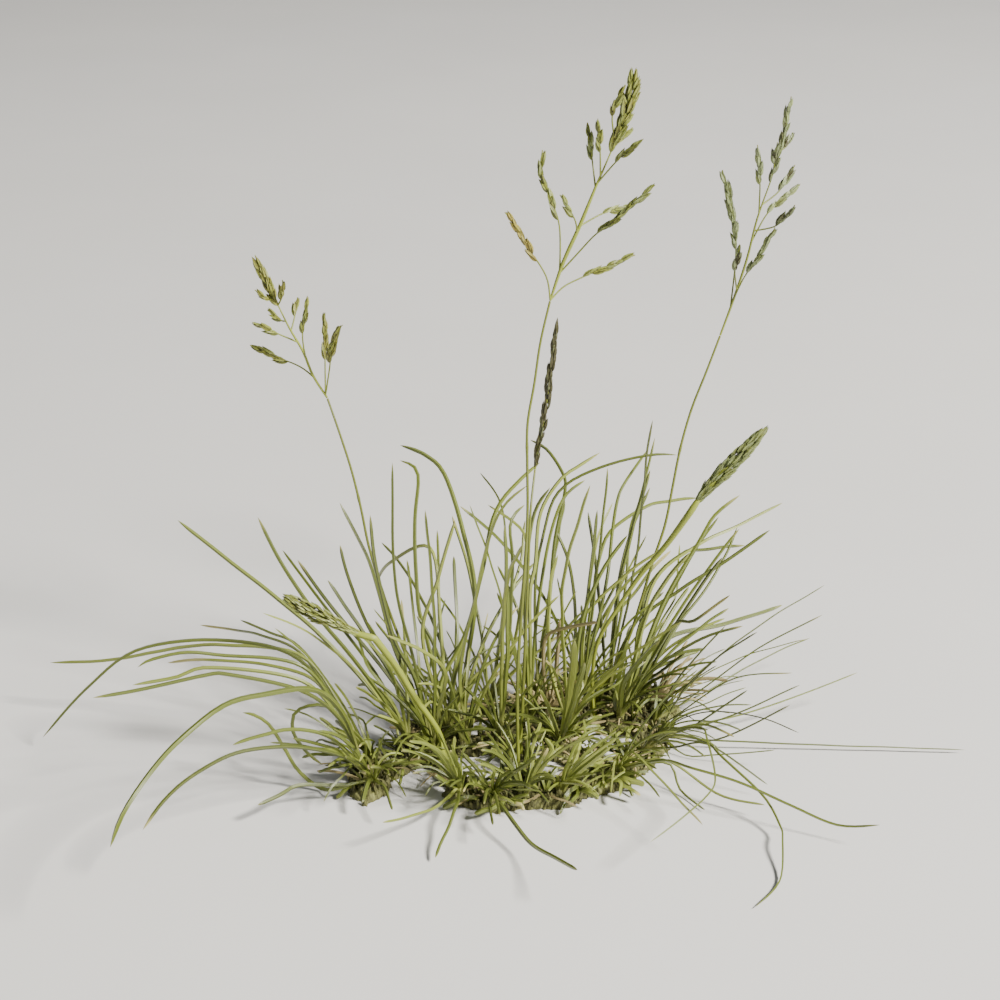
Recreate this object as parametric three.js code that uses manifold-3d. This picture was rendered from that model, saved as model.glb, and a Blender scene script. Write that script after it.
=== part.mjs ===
// Alpine bluegrass: a tussock of leafy shoots on a low crown, with three open and three closed panicles.
// Millimetres, +Z up, the front towards -Y. The origin is the middle of the crown's flat underside.
import * as THREE from "three";
import { mergeVertices } from "three/addons/utils/BufferGeometryUtils.js";
import Module from "manifold-3d";

const wasm = await Module();
wasm.setup();

// Driving dimensions of the crown, the leaves and the flowering stems
const CROWN_HEIGHT = 3.5;
const JOINT_GAP = 0.3;
const FLOOR_GAP = 1.3;
const BUTT_HEIGHT = 6.5;
const BUTT_RADIUS = 3.3;
const ROOT_RISE = 2.2;
const CULM_FOOT_RISE = 6;
const LEAF_MIN_THICKNESS = 0.66;
const KEEL_DEPTH = 0.4;
const LAST_RING = 0.93;
const BLADE_FOOT = { width: 0.5, reach: 0.2 };
const BLADE_TAPER = 0.4;
const RACHIS_RADIUS = 0.42;
const THIN_CULM = [0.7, RACHIS_RADIUS];
const SWELLING_CULM = [0.9, 1.7];
const STOUT_CULM = [1.5, 1.75];
const BRANCH_RADIUS = 0.34;
const SPIKELET_LENGTH = 7;
const SPIKELET_WIDTH = 2.5;

// The sheet that leaves are set out on: seen from the front and a little above, at arm's length.
// It stands through the origin, square to the line of sight, and is measured across and up.
const VIEW_TILT = THREE.MathUtils.degToRad(22);
const VIEW_DISTANCE = 944.4;
const VIEW_ACROSS = -20;
const VIEW_UP = 96;

// How leaves are kept apart: they are tested every few millimetres along their length
const TEST_STEP = 1.6;
const TEST_CELL = 6;
const CLEAR = 0.75;
const NEAR_ROOT = 10;
const DEPTH_STEP = 4;
const DEPTH_TRIES = 22;

// How finely lines are cut: a curve between two of its points, and where shares of a line are looked up
const CURVE_CUTS = 8;
const LOOK_UP = 60;

// Seeded random numbers, the same in every run
function seededRandom(seed) {
  let state = seed >>> 0;
  return () => {
    state = (state + 0x6d2b79f5) >>> 0;
    let mixed = Math.imul(state ^ (state >>> 15), state | 1);
    mixed = (mixed + Math.imul(mixed ^ (mixed >>> 7), mixed | 61)) ^ mixed;
    return ((mixed ^ (mixed >>> 14)) >>> 0) / 4294967296;
  };
}

function between(random, range) {
  return range[0] + (range[1] - range[0]) * random();
}

// The crown: low bars of packed sheath bases under the feet, cut level below.
// A bar is [from, to, half its width].
const CROWN_BARS = [
  [[-70, -23], [-69, -45], 9], [[-68, -34], [-54, -20], 5], [[-57, -22], [-52, 8], 7.5],
  [[-47, 17], [-35, 17], 6.5], [[-46, -16], [-40, 14], 7.5], [[-44, -10], [-20, -5], 7.5],
  [[-22, -4], [-6, 8], 7], [[-8, 6], [8, 5], 7], [[6, 4], [4, -12], 6.5], [[-24, 21], [-4, 30], 7],
  [[-5, 4], [-3, 30], 8], [[-4, 32], [14, 46], 7], [[12, 25], [39, 40], 9], [[12, 46], [22, 32], 7],
  [[28, 10], [35, 26], 7.5], [[8, 4], [20, 18], 6], [[33, 24], [48, 24], 7], [[30, 11], [44, 8], 7.5],
  [[42, 8], [41, -7], 7], [[41, -6], [35, -20], 7], [[36, -18], [24, -35], 7], [[26, -34], [2, -49], 7],
  [[5, -49], [-25, -53], 7], [[-20, -53], [-36, -49], 7], [[-12, -48], [-13, -14], 5.5],
  [[4, -12], [22, -31], 6], [[-45, -16], [-34, -44], 5], [[-13, -18], [-19, -5], 5.5],
];
const OVER_CROWN = 1.9;
const CROWN_MARGIN = 5;

// The lowest a leaf may lie: on the floor, or on the crown where it is over that
function groundAt(x, y) {
  for (const [from, to, half] of CROWN_BARS) {
    const [dx, dy] = [to[0] - from[0], to[1] - from[1]];
    const along = ((x - from[0]) * dx + (y - from[1]) * dy) / (dx * dx + dy * dy);
    const share = Math.min(1, Math.max(0, along));
    const off = Math.hypot(x - from[0] - share * dx, y - from[1] - share * dy);
    if (off < half + CROWN_MARGIN) {
      return CROWN_HEIGHT + OVER_CROWN;
    }
  }
  return FLOOR_GAP;
}

// The point of the object that is seen at [across, up] on the sheet and lies at a depth y
const forward = new THREE.Vector3(0, Math.cos(VIEW_TILT), -Math.sin(VIEW_TILT));
const upward = new THREE.Vector3(0, Math.sin(VIEW_TILT), Math.cos(VIEW_TILT));
const eye = new THREE.Vector3(VIEW_ACROSS, 0, 0)
  .addScaledVector(upward, VIEW_UP)
  .addScaledVector(forward, -VIEW_DISTANCE);

function seenAt(across, up, depth) {
  const ray = new THREE.Vector3(across, 0, 0).addScaledVector(upward, up).sub(eye);
  const point = eye.clone().addScaledVector(ray, (depth - eye.y) / ray.y);
  if (point.z < FLOOR_GAP) {
    point.copy(eye).addScaledVector(ray, (FLOOR_GAP - eye.z) / ray.z);
  }
  point.z = Math.max(point.z, groundAt(point.x, point.y));
  return point;
}

// A smooth line through the given points, cut into equal steps
function smoothLine(points, steps) {
  const fine = [];
  const last = points.length - 1;
  for (let i = 0; i < last; i += 1) {
    const before = points[Math.max(i - 1, 0)];
    const after = points[Math.min(i + 2, last)];
    for (let k = 0; k < CURVE_CUTS; k += 1) {
      fine.push(curvePoint(before, points[i], points[i + 1], after, k / CURVE_CUTS));
    }
  }
  fine.push(points[last].clone());
  return evenSteps(fine, steps);
}

// One point of the smooth line between two of its points, a and b
function curvePoint(before, a, b, after, t) {
  const point = new THREE.Vector3();
  for (const axis of ["x", "y", "z"]) {
    const slopeA = (b[axis] - before[axis]) / 2;
    const slopeB = (after[axis] - a[axis]) / 2;
    const step = b[axis] - a[axis];
    const bend = 3 * step - 2 * slopeA - slopeB;
    const twist = slopeA + slopeB - 2 * step;
    point[axis] = a[axis] + slopeA * t + bend * t * t + twist * t * t * t;
  }
  return point;
}

// The same line, cut into steps of one length
function evenSteps(points, steps) {
  const reach = [0];
  for (let i = 1; i < points.length; i += 1) {
    reach.push(reach[i - 1] + points[i].distanceTo(points[i - 1]));
  }
  const total = reach[reach.length - 1];
  const even = [];
  let at = 1;
  for (let k = 0; k <= steps; k += 1) {
    const want = (total * k) / steps;
    while (at < points.length - 1 && reach[at] < want) {
      at += 1;
    }
    const share = (want - reach[at - 1]) / (reach[at] - reach[at - 1]);
    even.push(points[at - 1].clone().lerp(points[at], share));
  }
  return even;
}

function lineLength(points) {
  let total = 0;
  for (let i = 1; i < points.length; i += 1) {
    total += points[i].distanceTo(points[i - 1]);
  }
  return total;
}

// A closed solid from its points and triangles
const MERGE_WITHIN = 1e-4;

function solidFrom(positions, triangles) {
  const plain = new THREE.BufferGeometry();
  plain.setAttribute("position", new THREE.Float32BufferAttribute(positions, 3));
  plain.setIndex(triangles);
  const merged = mergeVertices(plain, MERGE_WITHIN);
  return new wasm.Manifold(new wasm.Mesh({
    numProp: 3,
    vertProperties: new Float32Array(merged.attributes.position.array),
    triVerts: new Uint32Array(merged.index.array),
  }));
}

// Rings of equal counts along a line, closed by a flat foot and by a point or a flat top
function ringSolid(rings, tip) {
  const sides = rings[0].length;
  const positions = rings.flat().flatMap((p) => [p.x, p.y, p.z]);
  const triangles = [];
  for (let k = 1; k + 1 < sides; k += 1) {
    triangles.push(0, k + 1, k);
  }
  for (let r = 0; r + 1 < rings.length; r += 1) {
    for (let k = 0; k < sides; k += 1) {
      const a = r * sides + k;
      const b = r * sides + ((k + 1) % sides);
      triangles.push(a, b, b + sides, a, b + sides, a + sides);
    }
  }
  const top = (rings.length - 1) * sides;
  if (tip) {
    positions.push(tip.x, tip.y, tip.z);
    for (let k = 0; k < sides; k += 1) {
      triangles.push(top + k, top + ((k + 1) % sides), top + sides);
    }
  } else {
    for (let k = 1; k + 1 < sides; k += 1) {
      triangles.push(top, top + k, top + k + 1);
    }
  }
  return solidFrom(positions, triangles);
}

function directionAt(line, i) {
  const next = line[Math.min(i + 1, line.length - 1)];
  const last = line[Math.max(i - 1, 0)];
  return next.clone().sub(last).normalize();
}

// A blade: flat above and keeled below, widest near a third of its length, drawn to a point
function bladeSolid(line, width, turn) {
  const steps = line.length - 1;
  const rings = [];
  for (let i = 0; i < steps; i += 1) {
    const along = directionAt(line, i);
    const across = acrossAt(along, turn);
    const under = new THREE.Vector3().crossVectors(along, across);
    const w = width * bladeWidthAt(i / steps);
    const thickness = Math.max(LEAF_MIN_THICKNESS, w * KEEL_DEPTH);
    const centre = i === steps - 1 ? nearTip(line) : line[i];
    rings.push([
      centre.clone().addScaledVector(across, -w / 2),
      centre.clone().addScaledVector(across, w / 2),
      centre.clone().addScaledVector(under, thickness),
    ]);
  }
  return ringSolid(rings, line[steps]);
}

// The last ring stands close to the tip, because a blade keeps its width and ends bluntly
function nearTip(line) {
  const steps = line.length - 1;
  return line[steps].clone().lerp(line[steps - 1], (1 - LAST_RING) * steps);
}

function bladeWidthAt(share) {
  const opening = Math.min(1, share / BLADE_FOOT.reach);
  const grown = BLADE_FOOT.width + (1 - BLADE_FOOT.width) * opening;
  return grown * (1 - BLADE_TAPER * share ** 3);
}

// Across a blade: square to its line, turned about it from the way that faces the front
function acrossAt(along, turn) {
  const flat = new THREE.Vector3().crossVectors(along, forward);
  if (flat.lengthSq() < 1e-4) {
    flat.set(1, 0, 0);
  }
  return flat.normalize().applyAxisAngle(along, turn);
}

// A round stem or branch along a line
function stemSolid(line, footRadius, topRadius, sides) {
  const steps = line.length - 1;
  const start = acrossAt(directionAt(line, 0), 0);
  const rings = line.map((centre, i) => {
    const along = directionAt(line, i);
    const side = start.clone().addScaledVector(along, -start.dot(along)).normalize();
    const other = new THREE.Vector3().crossVectors(along, side);
    const radius = footRadius + ((topRadius - footRadius) * i) / steps;
    return Array.from({ length: sides }, (unused, k) => {
      const angle = (2 * Math.PI * k) / sides;
      return centre.clone()
        .addScaledVector(side, radius * Math.cos(angle))
        .addScaledVector(other, radius * Math.sin(angle));
    });
  });
  return ringSolid(rings, null);
}

function joinAll(solids) {
  return solids.reduce((whole, solid) => whole.add(solid));
}

// Test points along every line that is placed, kept in a grid of cells
const placed = new Map();

function cellOf(p) {
  return [p.x, p.y, p.z].map((value) => Math.floor(value / TEST_CELL));
}

function testPoints(line, radius, owner) {
  const steps = Math.max(2, Math.ceil(lineLength(line) / TEST_STEP));
  const even = evenSteps(line, steps);
  const step = lineLength(line) / steps;
  return even.map((p, i) => ({ p, radius, owner, reach: i * step }));
}

function keep(points) {
  for (const point of points) {
    const key = cellOf(point.p).join(" ");
    if (!placed.has(key)) {
      placed.set(key, []);
    }
    placed.get(key).push(point);
  }
}

// The least room between these test points and those already placed
function roomAround(points) {
  let least = TEST_CELL;
  for (const point of points) {
    const [cx, cy, cz] = cellOf(point.p);
    for (let x = cx - 1; x <= cx + 1; x += 1) {
      for (let y = cy - 1; y <= cy + 1; y += 1) {
        for (let z = cz - 1; z <= cz + 1; z += 1) {
          for (const other of placed.get(`${x} ${y} ${z}`) ?? []) {
            if (other.owner === point.owner && Math.min(other.reach, point.reach) < NEAR_ROOT) {
              continue;
            }
            const room = point.p.distanceTo(other.p) - point.radius - other.radius;
            least = Math.min(least, room);
          }
        }
      }
    }
  }
  return least;
}

// The tries that bend a leaf nearer or further back until it is clear: 0, +1, -1, +2, -2 steps
function depthShift(attempt) {
  const size = Math.ceil(attempt / 2) * DEPTH_STEP;
  return attempt % 2 === 1 ? size : -size;
}

function placeClear(owner, radius, lineFor, tries, mustStay) {
  let best = null;
  for (let attempt = 0; attempt < tries; attempt += 1) {
    const line = lineFor(depthShift(attempt));
    const points = testPoints(line, radius, owner);
    const room = roomAround(points);
    if (!best || room > best.room) {
      best = { line, points, room };
    }
    if (room >= CLEAR) {
      break;
    }
  }
  if (best.room < CLEAR && !mustStay) {
    return null;
  }
  keep(best.points);
  return best.line;
}

// Leaves seen in front view: each row is [depth of the tip, width, points from foot to tip].
// Points are [across, up] on the sheet, after the foot, which is the tuft's own.
const TUFTS = [
  {
    name: "left_fan_back", foot: [-70, -24], sheaf: [180, 30, 66, 24],
    leaves: [
      [-8, 2.0, [[-84, 12], [-103, 34], [-134, 40], [-165, 36], [-185, 21], [-203, 1]]],
      [22, 1.8, [[-84, 14], [-100, 34], [-130, 38], [-148, 37], [-176, 32], [-200, 31]]],
      [-22, 1.8, [[-85, 12], [-100, 30], [-132, 34], [-146, 35], [-160, 32], [-165, 29]]],
      [36, 1.8, [[-86, 14], [-100, 27], [-132, 32], [-153, 31]]],
      [50, 1.4, [[-86, 15], [-100, 35], [-116, 42], [-126, 44], [-140, 46]]],
      [10, 1.4, [[-84, 16], [-100, 37], [-112, 43], [-124, 48]]],
      [-36, 1.2, [[-80, 9], [-92, 28], [-102, 38], [-110, 45]]],
    ],
  },
  {
    name: "left_fan_side", foot: [-72, -34], sheaf: [196, 34, 60, 34],
    leaves: [
      [-44, 1.9, [[-84, 8], [-100, 24], [-136, 29], [-150, 25], [-167, 22]]],
      [-60, 1.9, [[-83, 7], [-100, 20], [-128, 26], [-138, 26], [-164, 20], [-183, 17]]],
      [-116, 2.6, [[-82, 9], [-94, 20], [-116, 18], [-132, 13], [-148, 0], [-160, -13], [-171, -30],
        [-176, -43]]],
      [-46, 2.0, [[-82, 8], [-92, 14], [-101, 12], [-103, 6], [-102, 1], [-98, -4], [-91, -10]]],
      [-30, 1.9, [[-80, 2], [-86, 8]]],
    ],
  },
  {
    name: "left_fan_front", foot: [-68.4, -42.6], sheaf: [214, 30, 52, 34],
    leaves: [
      [-56, 1.9, [[-82, -4], [-92, 3], [-106, 4], [-115, 2], [-127, -2]]],
      [-98, 1.9, [[-82, -7], [-98, -3], [-112, -3], [-128, -6], [-144, -15], [-155, -25], [-163, -36]]],
      [-40, 1.9, [[-84, -23], [-92, -19], [-101, -12], [-106, -4], [-112, 6], [-118, 10], [-123, 11]]],
      [-70, 2.2, [[-82, -18], [-100, -18], [-108, -22], [-117, -26]]],
      [-64, 2.6, [[-73, -17], [-75, -25]]],
      [-72, 1.4, [[-66, -19], [-63, -28]]],
    ],
  },
  {
    name: "left_clump_outer", foot: [-56, -8], sheaf: [170, 40, 40, 46],
    leaves: [
      [34, 2.2, [[-74, 23], [-93, 43], [-112, 59], [-130, 73], [-149, 88]]],
      [-14, 2.1, [[-72, 24], [-90, 46], [-104, 65], [-117, 89]]],
      [62, 1.9, [[-70, 27], [-92, 56], [-107, 76]]],
      [-44, 1.4, [[-75, 25], [-95, 42], [-115, 51]]],
      [-34, 2.1, [[-60, 6], [-69, 10]]],
    ],
  },
  {
    name: "left_clump_upper", foot: [-51, 6], sheaf: [140, 50, 34, 56],
    leaves: [
      [44, 2.0, [[-68, 30], [-88, 54], [-101, 72]]],
      [84, 1.9, [[-62, 28], [-73, 46], [-81, 66], [-84, 78]]],
      [-20, 2.1, [[-62, 24], [-74, 42], [-89, 64]]],
      [30, 2.1, [[-58, 26], [-64, 42], [-71, 68], [-77, 81], [-84, 95]]],
    ],
  },
  {
    name: "left_clump_front", foot: [-46, -14], sheaf: [230, 60, 42, 44],
    leaves: [
      [-10, 2.0, [[-54, 24], [-62, 40], [-69, 66], [-72, 90]]],
      [14, 1.8, [[-54, 30], [-62, 64], [-63, 111]]],
      [-52, 1.8, [[-46, 40], [-48, 72], [-50, 92]]],
      [-70, 2.1, [[-44, 14], [-42, 28], [-52, 36], [-65, 42]]],
    ],
  },
  {
    name: "left_clump_middle", foot: [-41, 2], sheaf: [110, 70, 26, 58],
    leaves: [
      [22, 2.2, [[-49, 40], [-53, 56], [-54, 88], [-53, 107], [-60, 112]]],
      [-24, 1.9, [[-51, 40], [-45, 64], [-38, 88]]],
      [56, 1.7, [[-44, 45], [-45, 84]]],
      [70, 1.9, [[-44, 50], [-48, 77], [-64, 71], [-69, 64]]],
    ],
  },
  {
    name: "left_clump_inner", foot: [-34, -8], sheaf: [80, 60, 30, 48],
    leaves: [
      [40, 2.1, [[-44, 20], [-34, 42], [-27, 68], [-22, 91], [-12, 104], [-4, 111]]],
      [-20, 1.9, [[-36, 26], [-30, 56], [-24, 82], [-18, 94], [-9, 102]]],
    ],
  },
  {
    name: "left_clump_back", foot: [-36, 16], sheaf: [110, 60, 40, 62],
    leaves: [
      [52, 2.4, [[-30, 56], [-35, 84], [-42, 106], [-50, 114], [-60, 118]]],
    ],
  },
  {
    name: "middle_front", foot: [-20, -6], sheaf: [240, 80, 40, 44],
    leaves: [
      [-26, 2.1, [[-17, 36], [-18, 86]]],
      [8, 2.0, [[-15, 64], [-16, 86], [-10, 94]]],
      [-60, 1.9, [[-19, 40], [-17, 64], [-11, 78]]],
    ],
  },
  {
    name: "middle_left", foot: [-24, 22], sheaf: [110, 60, 34, 60],
    leaves: [
      [86, 1.5, [[-18, 60], [-19, 92], [-28, 107]]],
      [30, 1.9, [[-14, 40], [-10, 72], [-11, 84], [-25, 94]]],
      [60, 1.7, [[-18, 50], [-12, 70], [-10, 88]]],
    ],
  },
  {
    name: "middle_centre", foot: [-9, 6], sheaf: [70, 70, 24, 62],
    leaves: [
      [-14, 2.0, [[-10, 56], [-7, 88], [0, 101]]],
      [20, 2.0, [[-8, 56], [-6, 70], [-4, 90], [4, 104], [12, 110], [20, 115]]],
      [52, 1.8, [[-4, 60], [4, 94], [14, 104]]],
    ],
  },
  {
    name: "middle_back", foot: [-6, 30], sheaf: [80, 60, 30, 66],
    leaves: [
      [84, 1.9, [[-1, 50], [2, 80], [6, 100], [5, 107], [-1, 116], [-8, 120]]],
      [40, 1.5, [[-6, 60], [-2, 85], [4, 100], [20, 109], [40, 114], [51, 114]]],
      [100, 1.8, [[0, 60], [3, 80], [6, 96]]],
    ],
  },
  {
    name: "middle_right", foot: [7, 4], sheaf: [330, 70, 36, 48],
    leaves: [
      [-12, 2.0, [[5, 44], [6, 68], [16, 102]]],
      [30, 2.1, [[0, 30], [0, 60], [3, 74]]],
      [18, 2.1, [[12, 44], [20, 66], [31, 82]]],
    ],
  },
  {
    name: "middle_fold", foot: [4, -10], sheaf: [280, 60, 50, 26],
    leaves: [
      [-24, 3.6, [[8, 20], [10, 40]]],
      [-32, 2.8, [[9, 14], [14, 31]]],
      [-44, 2.2, [[0, 12], [-4, 20]]],
    ],
  },
  {
    name: "middle_far", foot: [12, 24], sheaf: [50, 60, 30, 66],
    leaves: [
      [10, 2.0, [[13, 42], [15, 56], [19, 92]]],
      [56, 1.9, [[14, 50], [19, 80], [25, 95]]],
      [30, 1.5, [[18, 60], [22, 96], [23, 109]]],
      [74, 1.8, [[22, 60], [25, 84], [27, 96], [30, 103], [39, 116]]],
    ],
  },
  {
    name: "right_clump_upright", foot: [24, 36], sheaf: [70, 60, 26, 62],
    leaves: [
      [26, 2.1, [[27, 56], [29, 68], [34, 88], [40, 108]]],
      [66, 1.9, [[27, 60], [32, 82], [40, 101]]],
      [90, 1.5, [[30, 60], [32, 84], [36, 96], [42, 121]]],
      [50, 1.3, [[34, 70], [39, 116], [41, 128]]],
    ],
  },
  {
    name: "right_clump_back", foot: [13, 46], sheaf: [60, 80, 34, 64],
    leaves: [
      [104, 1.9, [[16, 50], [22, 80], [36, 92], [44, 95], [59, 97]]],
      [60, 1.8, [[10, 50], [8, 70], [2, 84]]],
    ],
  },
  {
    name: "right_clump_front", foot: [28, 12], sheaf: [340, 50, 44, 50],
    leaves: [
      [-30, 1.9, [[48, 44], [58, 48], [72, 58]]],
      [-8, 2.3, [[38, 48], [46, 63], [56, 75]]],
      [24, 2.0, [[44, 52], [60, 80], [66, 90], [76, 98]]],
      [-40, 2.8, [[30, 24], [44, 40]]],
      [-20, 3.2, [[26, 16], [31, 40]]],
    ],
  },
  {
    name: "right_clump_side", foot: [34, 24], sheaf: [10, 50, 50, 56],
    leaves: [
      [52, 2.0, [[40, 60], [59, 78], [76, 86], [93, 95]]],
      [20, 2.0, [[36, 46], [52, 60], [68, 70], [88, 84]]],
      [-6, 1.9, [[49, 44], [60, 61], [69, 73]]],
      [76, 1.5, [[50, 44], [66, 66], [75, 85]]],
    ],
  },
  {
    name: "right_clump_outer", foot: [36, 38], sheaf: [20, 60, 48, 60],
    leaves: [
      [92, 1.9, [[38, 58], [52, 74], [60, 76], [78, 78]]],
      [64, 2.7, [[40, 34], [50, 42], [72, 47], [93, 54]]],
      [26, 1.8, [[42, 26], [48, 30], [54, 35]]],
    ],
  },
  {
    name: "right_fan_back", foot: [42, 8], sheaf: [12, 30, 60, 50],
    leaves: [
      [36, 1.7, [[56, 24], [84, 46], [110, 62]]],
      [10, 1.5, [[52, 14], [84, 37], [109, 50]]],
      [60, 1.5, [[60, 18], [84, 32], [104, 41]]],
      [-22, 1.5, [[48, 8], [72, 24], [97, 27]]],
    ],
  },
  {
    name: "right_fan_side", foot: [42, -6], sheaf: [350, 34, 66, 50],
    leaves: [
      [-34, 1.7, [[56, 5], [79, 20]]],
      [24, 1.6, [[54, 4], [76, 10], [100, 18], [123, 27]]],
      [-12, 1.5, [[68, 8], [100, 22]]],
      [-40, 1.5, [[66, 0], [96, 14]]],
      [-12, 1.7, [[52, 1], [64, 0], [108, -2], [140, -3], [166, -4]]],
      [-26, 1.4, [[54, -6], [66, -6], [90, -4]]],
    ],
  },
  {
    name: "right_fan_low", foot: [36, -18], sheaf: [320, 40, 66, 44],
    leaves: [
      [-110, 1.9, [[46, 3], [60, 5], [63, 0], [66, -15], [63, -22], [54, -30], [40, -41]]],
      [-140, 1.8, [[50, 2], [63, -1], [68, -6], [85, -22], [92, -34], [93, -40], [92, -56], [82, -67]]],
      [-60, 1.5, [[50, -3], [64, -2], [87, -18]]],
    ],
  },
  {
    name: "right_fan_front", foot: [25, -34], sheaf: [310, 44, 60, 36],
    leaves: [
      [-84, 1.9, [[34, -10], [46, -8], [56, -11], [76, -17], [96, -26], [115, -34], [132, -34]]],
      [-76, 1.7, [[46, -8], [68, -22], [86, -26]]],
      [-82, 1.6, [[47, -9], [52, -20], [62, -28]]],
      [-96, 1.6, [[33, -5], [48, -20], [61, -34]]],
      [-66, 1.4, [[36, -14], [44, -23]]],
    ],
  },
  {
    name: "front_row_left", foot: [-35, -49], sheaf: [190, 60, 52, 28],
    leaves: [
      [-60, 2.4, [[-40, -18], [-46, -14]]],
      [-96, 1.6, [[-38, -28], [-46, -47]]],
      [-92, 1.7, [[-48, -28], [-67, -33]]],
      [-52, 2.2, [[-36, -12], [-40, -4]]],
    ],
  },
  {
    name: "front_row_tip", foot: [-23, -54], sheaf: [250, 70, 54, 26],
    leaves: [
      [-46, 2.6, [[-19, -12], [-20, -4]]],
      [-132, 2.0, [[-18, -28], [-8, -41], [2, -47], [11, -52]]],
      [-88, 1.4, [[-24, -26], [-23, -34]]],
    ],
  },
  {
    name: "front_row_middle", foot: [-11, -52], sheaf: [260, 80, 44, 30],
    leaves: [
      [-40, 2.5, [[-14, -14], [-14, -5]]],
      [-62, 2.6, [[-6, -12], [-1, -3]]],
      [-44, 2.4, [[0, -6], [1, -3], [-2, 1]]],
    ],
  },
  {
    name: "front_row_right", foot: [3, -49], sheaf: [300, 60, 48, 30],
    leaves: [
      [-58, 2.6, [[12, -12], [24, -3]]],
      [-38, 2.5, [[14, -12], [30, -6]]],
      [-30, 2.4, [[10, -8], [12, 0]]],
    ],
  },
];

// A leafy sheaf round each foot: [heading, spread of heading, lean, length], in degrees and millimetres.
// The ranges below are shares of the sheaf's own lean and length, and degrees of bend.
const SHEAF_LEAVES = 5;
const SHEAF_SEED = 41;
const SHEAF_LEAN = [0.5, 1.15];
const SHEAF_BEND = [8, 46];
const SHEAF_REACH = [0.6, 1.5];
const SHEAF_WIDTH = [1.5, 2.2];
const KINK_CHANCE = 0.25;
const KINK_TURN = [-0.8, 0.8];
const DRAWN_TURN = [-0.45, 0.45];
const RISING_TURN = [-1.1, 1.1];
const RISING_PARTS = 5;
const KINK_PART = 2;
const LEAN_AT_FOOT = 0.55;
const STEP_PER_HEADING = 40;
const LEAF_STEP = 22.5;
const LEAF_STEPS = [3, 7];
const ROOT_SPREAD = 0.45;

const degrees = THREE.MathUtils.degToRad;

function rootPoint(foot, heading) {
  const height = CROWN_HEIGHT + JOINT_GAP + ROOT_RISE;
  const off = BUTT_RADIUS * ROOT_SPREAD;
  return new THREE.Vector3(foot[0] + off * Math.cos(heading), foot[1] + off * Math.sin(heading), height);
}

// A leaf drawn from the front view: its depth runs evenly from its foot to its tip
function drawnLeaf(foot, tipDepth, points, shift) {
  const depth = tipDepth + shift;
  const tip = seenAt(...points[points.length - 1], depth);
  const heading = Math.atan2(tip.y - foot[1], tip.x - foot[0]);
  const line = [rootPoint(foot, heading)];
  points.forEach((point, i) => {
    const share = (i + 1) / points.length;
    line.push(seenAt(...point, foot[1] + (depth - foot[1]) * share));
  });
  return line;
}

// A leaf that rises from its foot, leans out and bends over, with a kink in some
function risingLeaf(foot, heading, lean, bend, length, kink) {
  const line = [rootPoint(foot, heading)];
  const step = length / RISING_PARTS;
  let way = heading;
  for (let i = 0; i < RISING_PARTS; i += 1) {
    const share = (i + 0.5) / RISING_PARTS;
    const tilt = lean * Math.min(1, LEAN_AT_FOOT + share) + bend * share * share;
    const last = line[line.length - 1];
    const x = last.x + step * Math.sin(tilt) * Math.cos(way);
    const y = last.y + step * Math.sin(tilt) * Math.sin(way);
    line.push(new THREE.Vector3(x, y, Math.max(groundAt(x, y), last.z + step * Math.cos(tilt))));
    way += i === KINK_PART ? kink : 0;
  }
  return line;
}

function stepsFor(line) {
  const [fewest, most] = LEAF_STEPS;
  return Math.max(fewest, Math.min(most, Math.round(lineLength(line) / LEAF_STEP)));
}

// Packed sheaths round a foot, cut level where they stand on the crown, leaning with what they hold.
// A ring is [share of the height, share of the radius].
const SHEATH_RINGS = [[0, 1], [0.5, 0.88], [1, 0.5]];
const SHEATH_LEAN = 1.6;
const TUFT_SHEATH_SIDES = 6;
const CULM_SHEATH_SIDES = 5;
const CULM_SHEATH_WALL = 0.7;

function sheathSolid(foot, radius, height, lean, sides) {
  const rings = SHEATH_RINGS.map(([share, grow]) => (
    Array.from({ length: sides }, (unused, k) => {
      const angle = (2 * Math.PI * k) / sides;
      return new THREE.Vector3(
        foot[0] + lean.x * share * share + radius * grow * Math.cos(angle),
        foot[1] + lean.y * share * share + radius * grow * Math.sin(angle),
        CROWN_HEIGHT + JOINT_GAP + height * share,
      );
    })
  ));
  return ringSolid(rings, null);
}

function buildTuft(tuft, random) {
  const leaves = [];
  for (const [tipDepth, width, points] of tuft.leaves) {
    const line = placeClear(tuft.name, width / 2, (shift) => {
      const drawn = drawnLeaf(tuft.foot, tipDepth, points, shift);
      return smoothLine(drawn, stepsFor(drawn));
    }, DEPTH_TRIES, true);
    leaves.push({ line, width, turn: between(random, DRAWN_TURN) });
  }
  const [heading, spread, lean, length] = tuft.sheaf;
  for (let i = 0; i < SHEAF_LEAVES; i += 1) {
    const way = degrees(heading + spread * between(random, [-1, 1]));
    const tilt = degrees(lean * between(random, SHEAF_LEAN));
    const bend = degrees(between(random, SHEAF_BEND));
    const reach = length * between(random, SHEAF_REACH);
    const kink = random() < KINK_CHANCE ? between(random, KINK_TURN) : 0;
    const width = between(random, SHEAF_WIDTH);
    const turn = between(random, RISING_TURN);
    const line = placeClear(tuft.name, width / 2, (shift) => {
      const risen = risingLeaf(tuft.foot, way + shift / STEP_PER_HEADING, tilt, bend, reach, kink);
      return smoothLine(risen, stepsFor(risen));
    }, DEPTH_TRIES, false);
    if (line) {
      leaves.push({ line, width, turn });
    }
  }
  return leaves;
}

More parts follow.
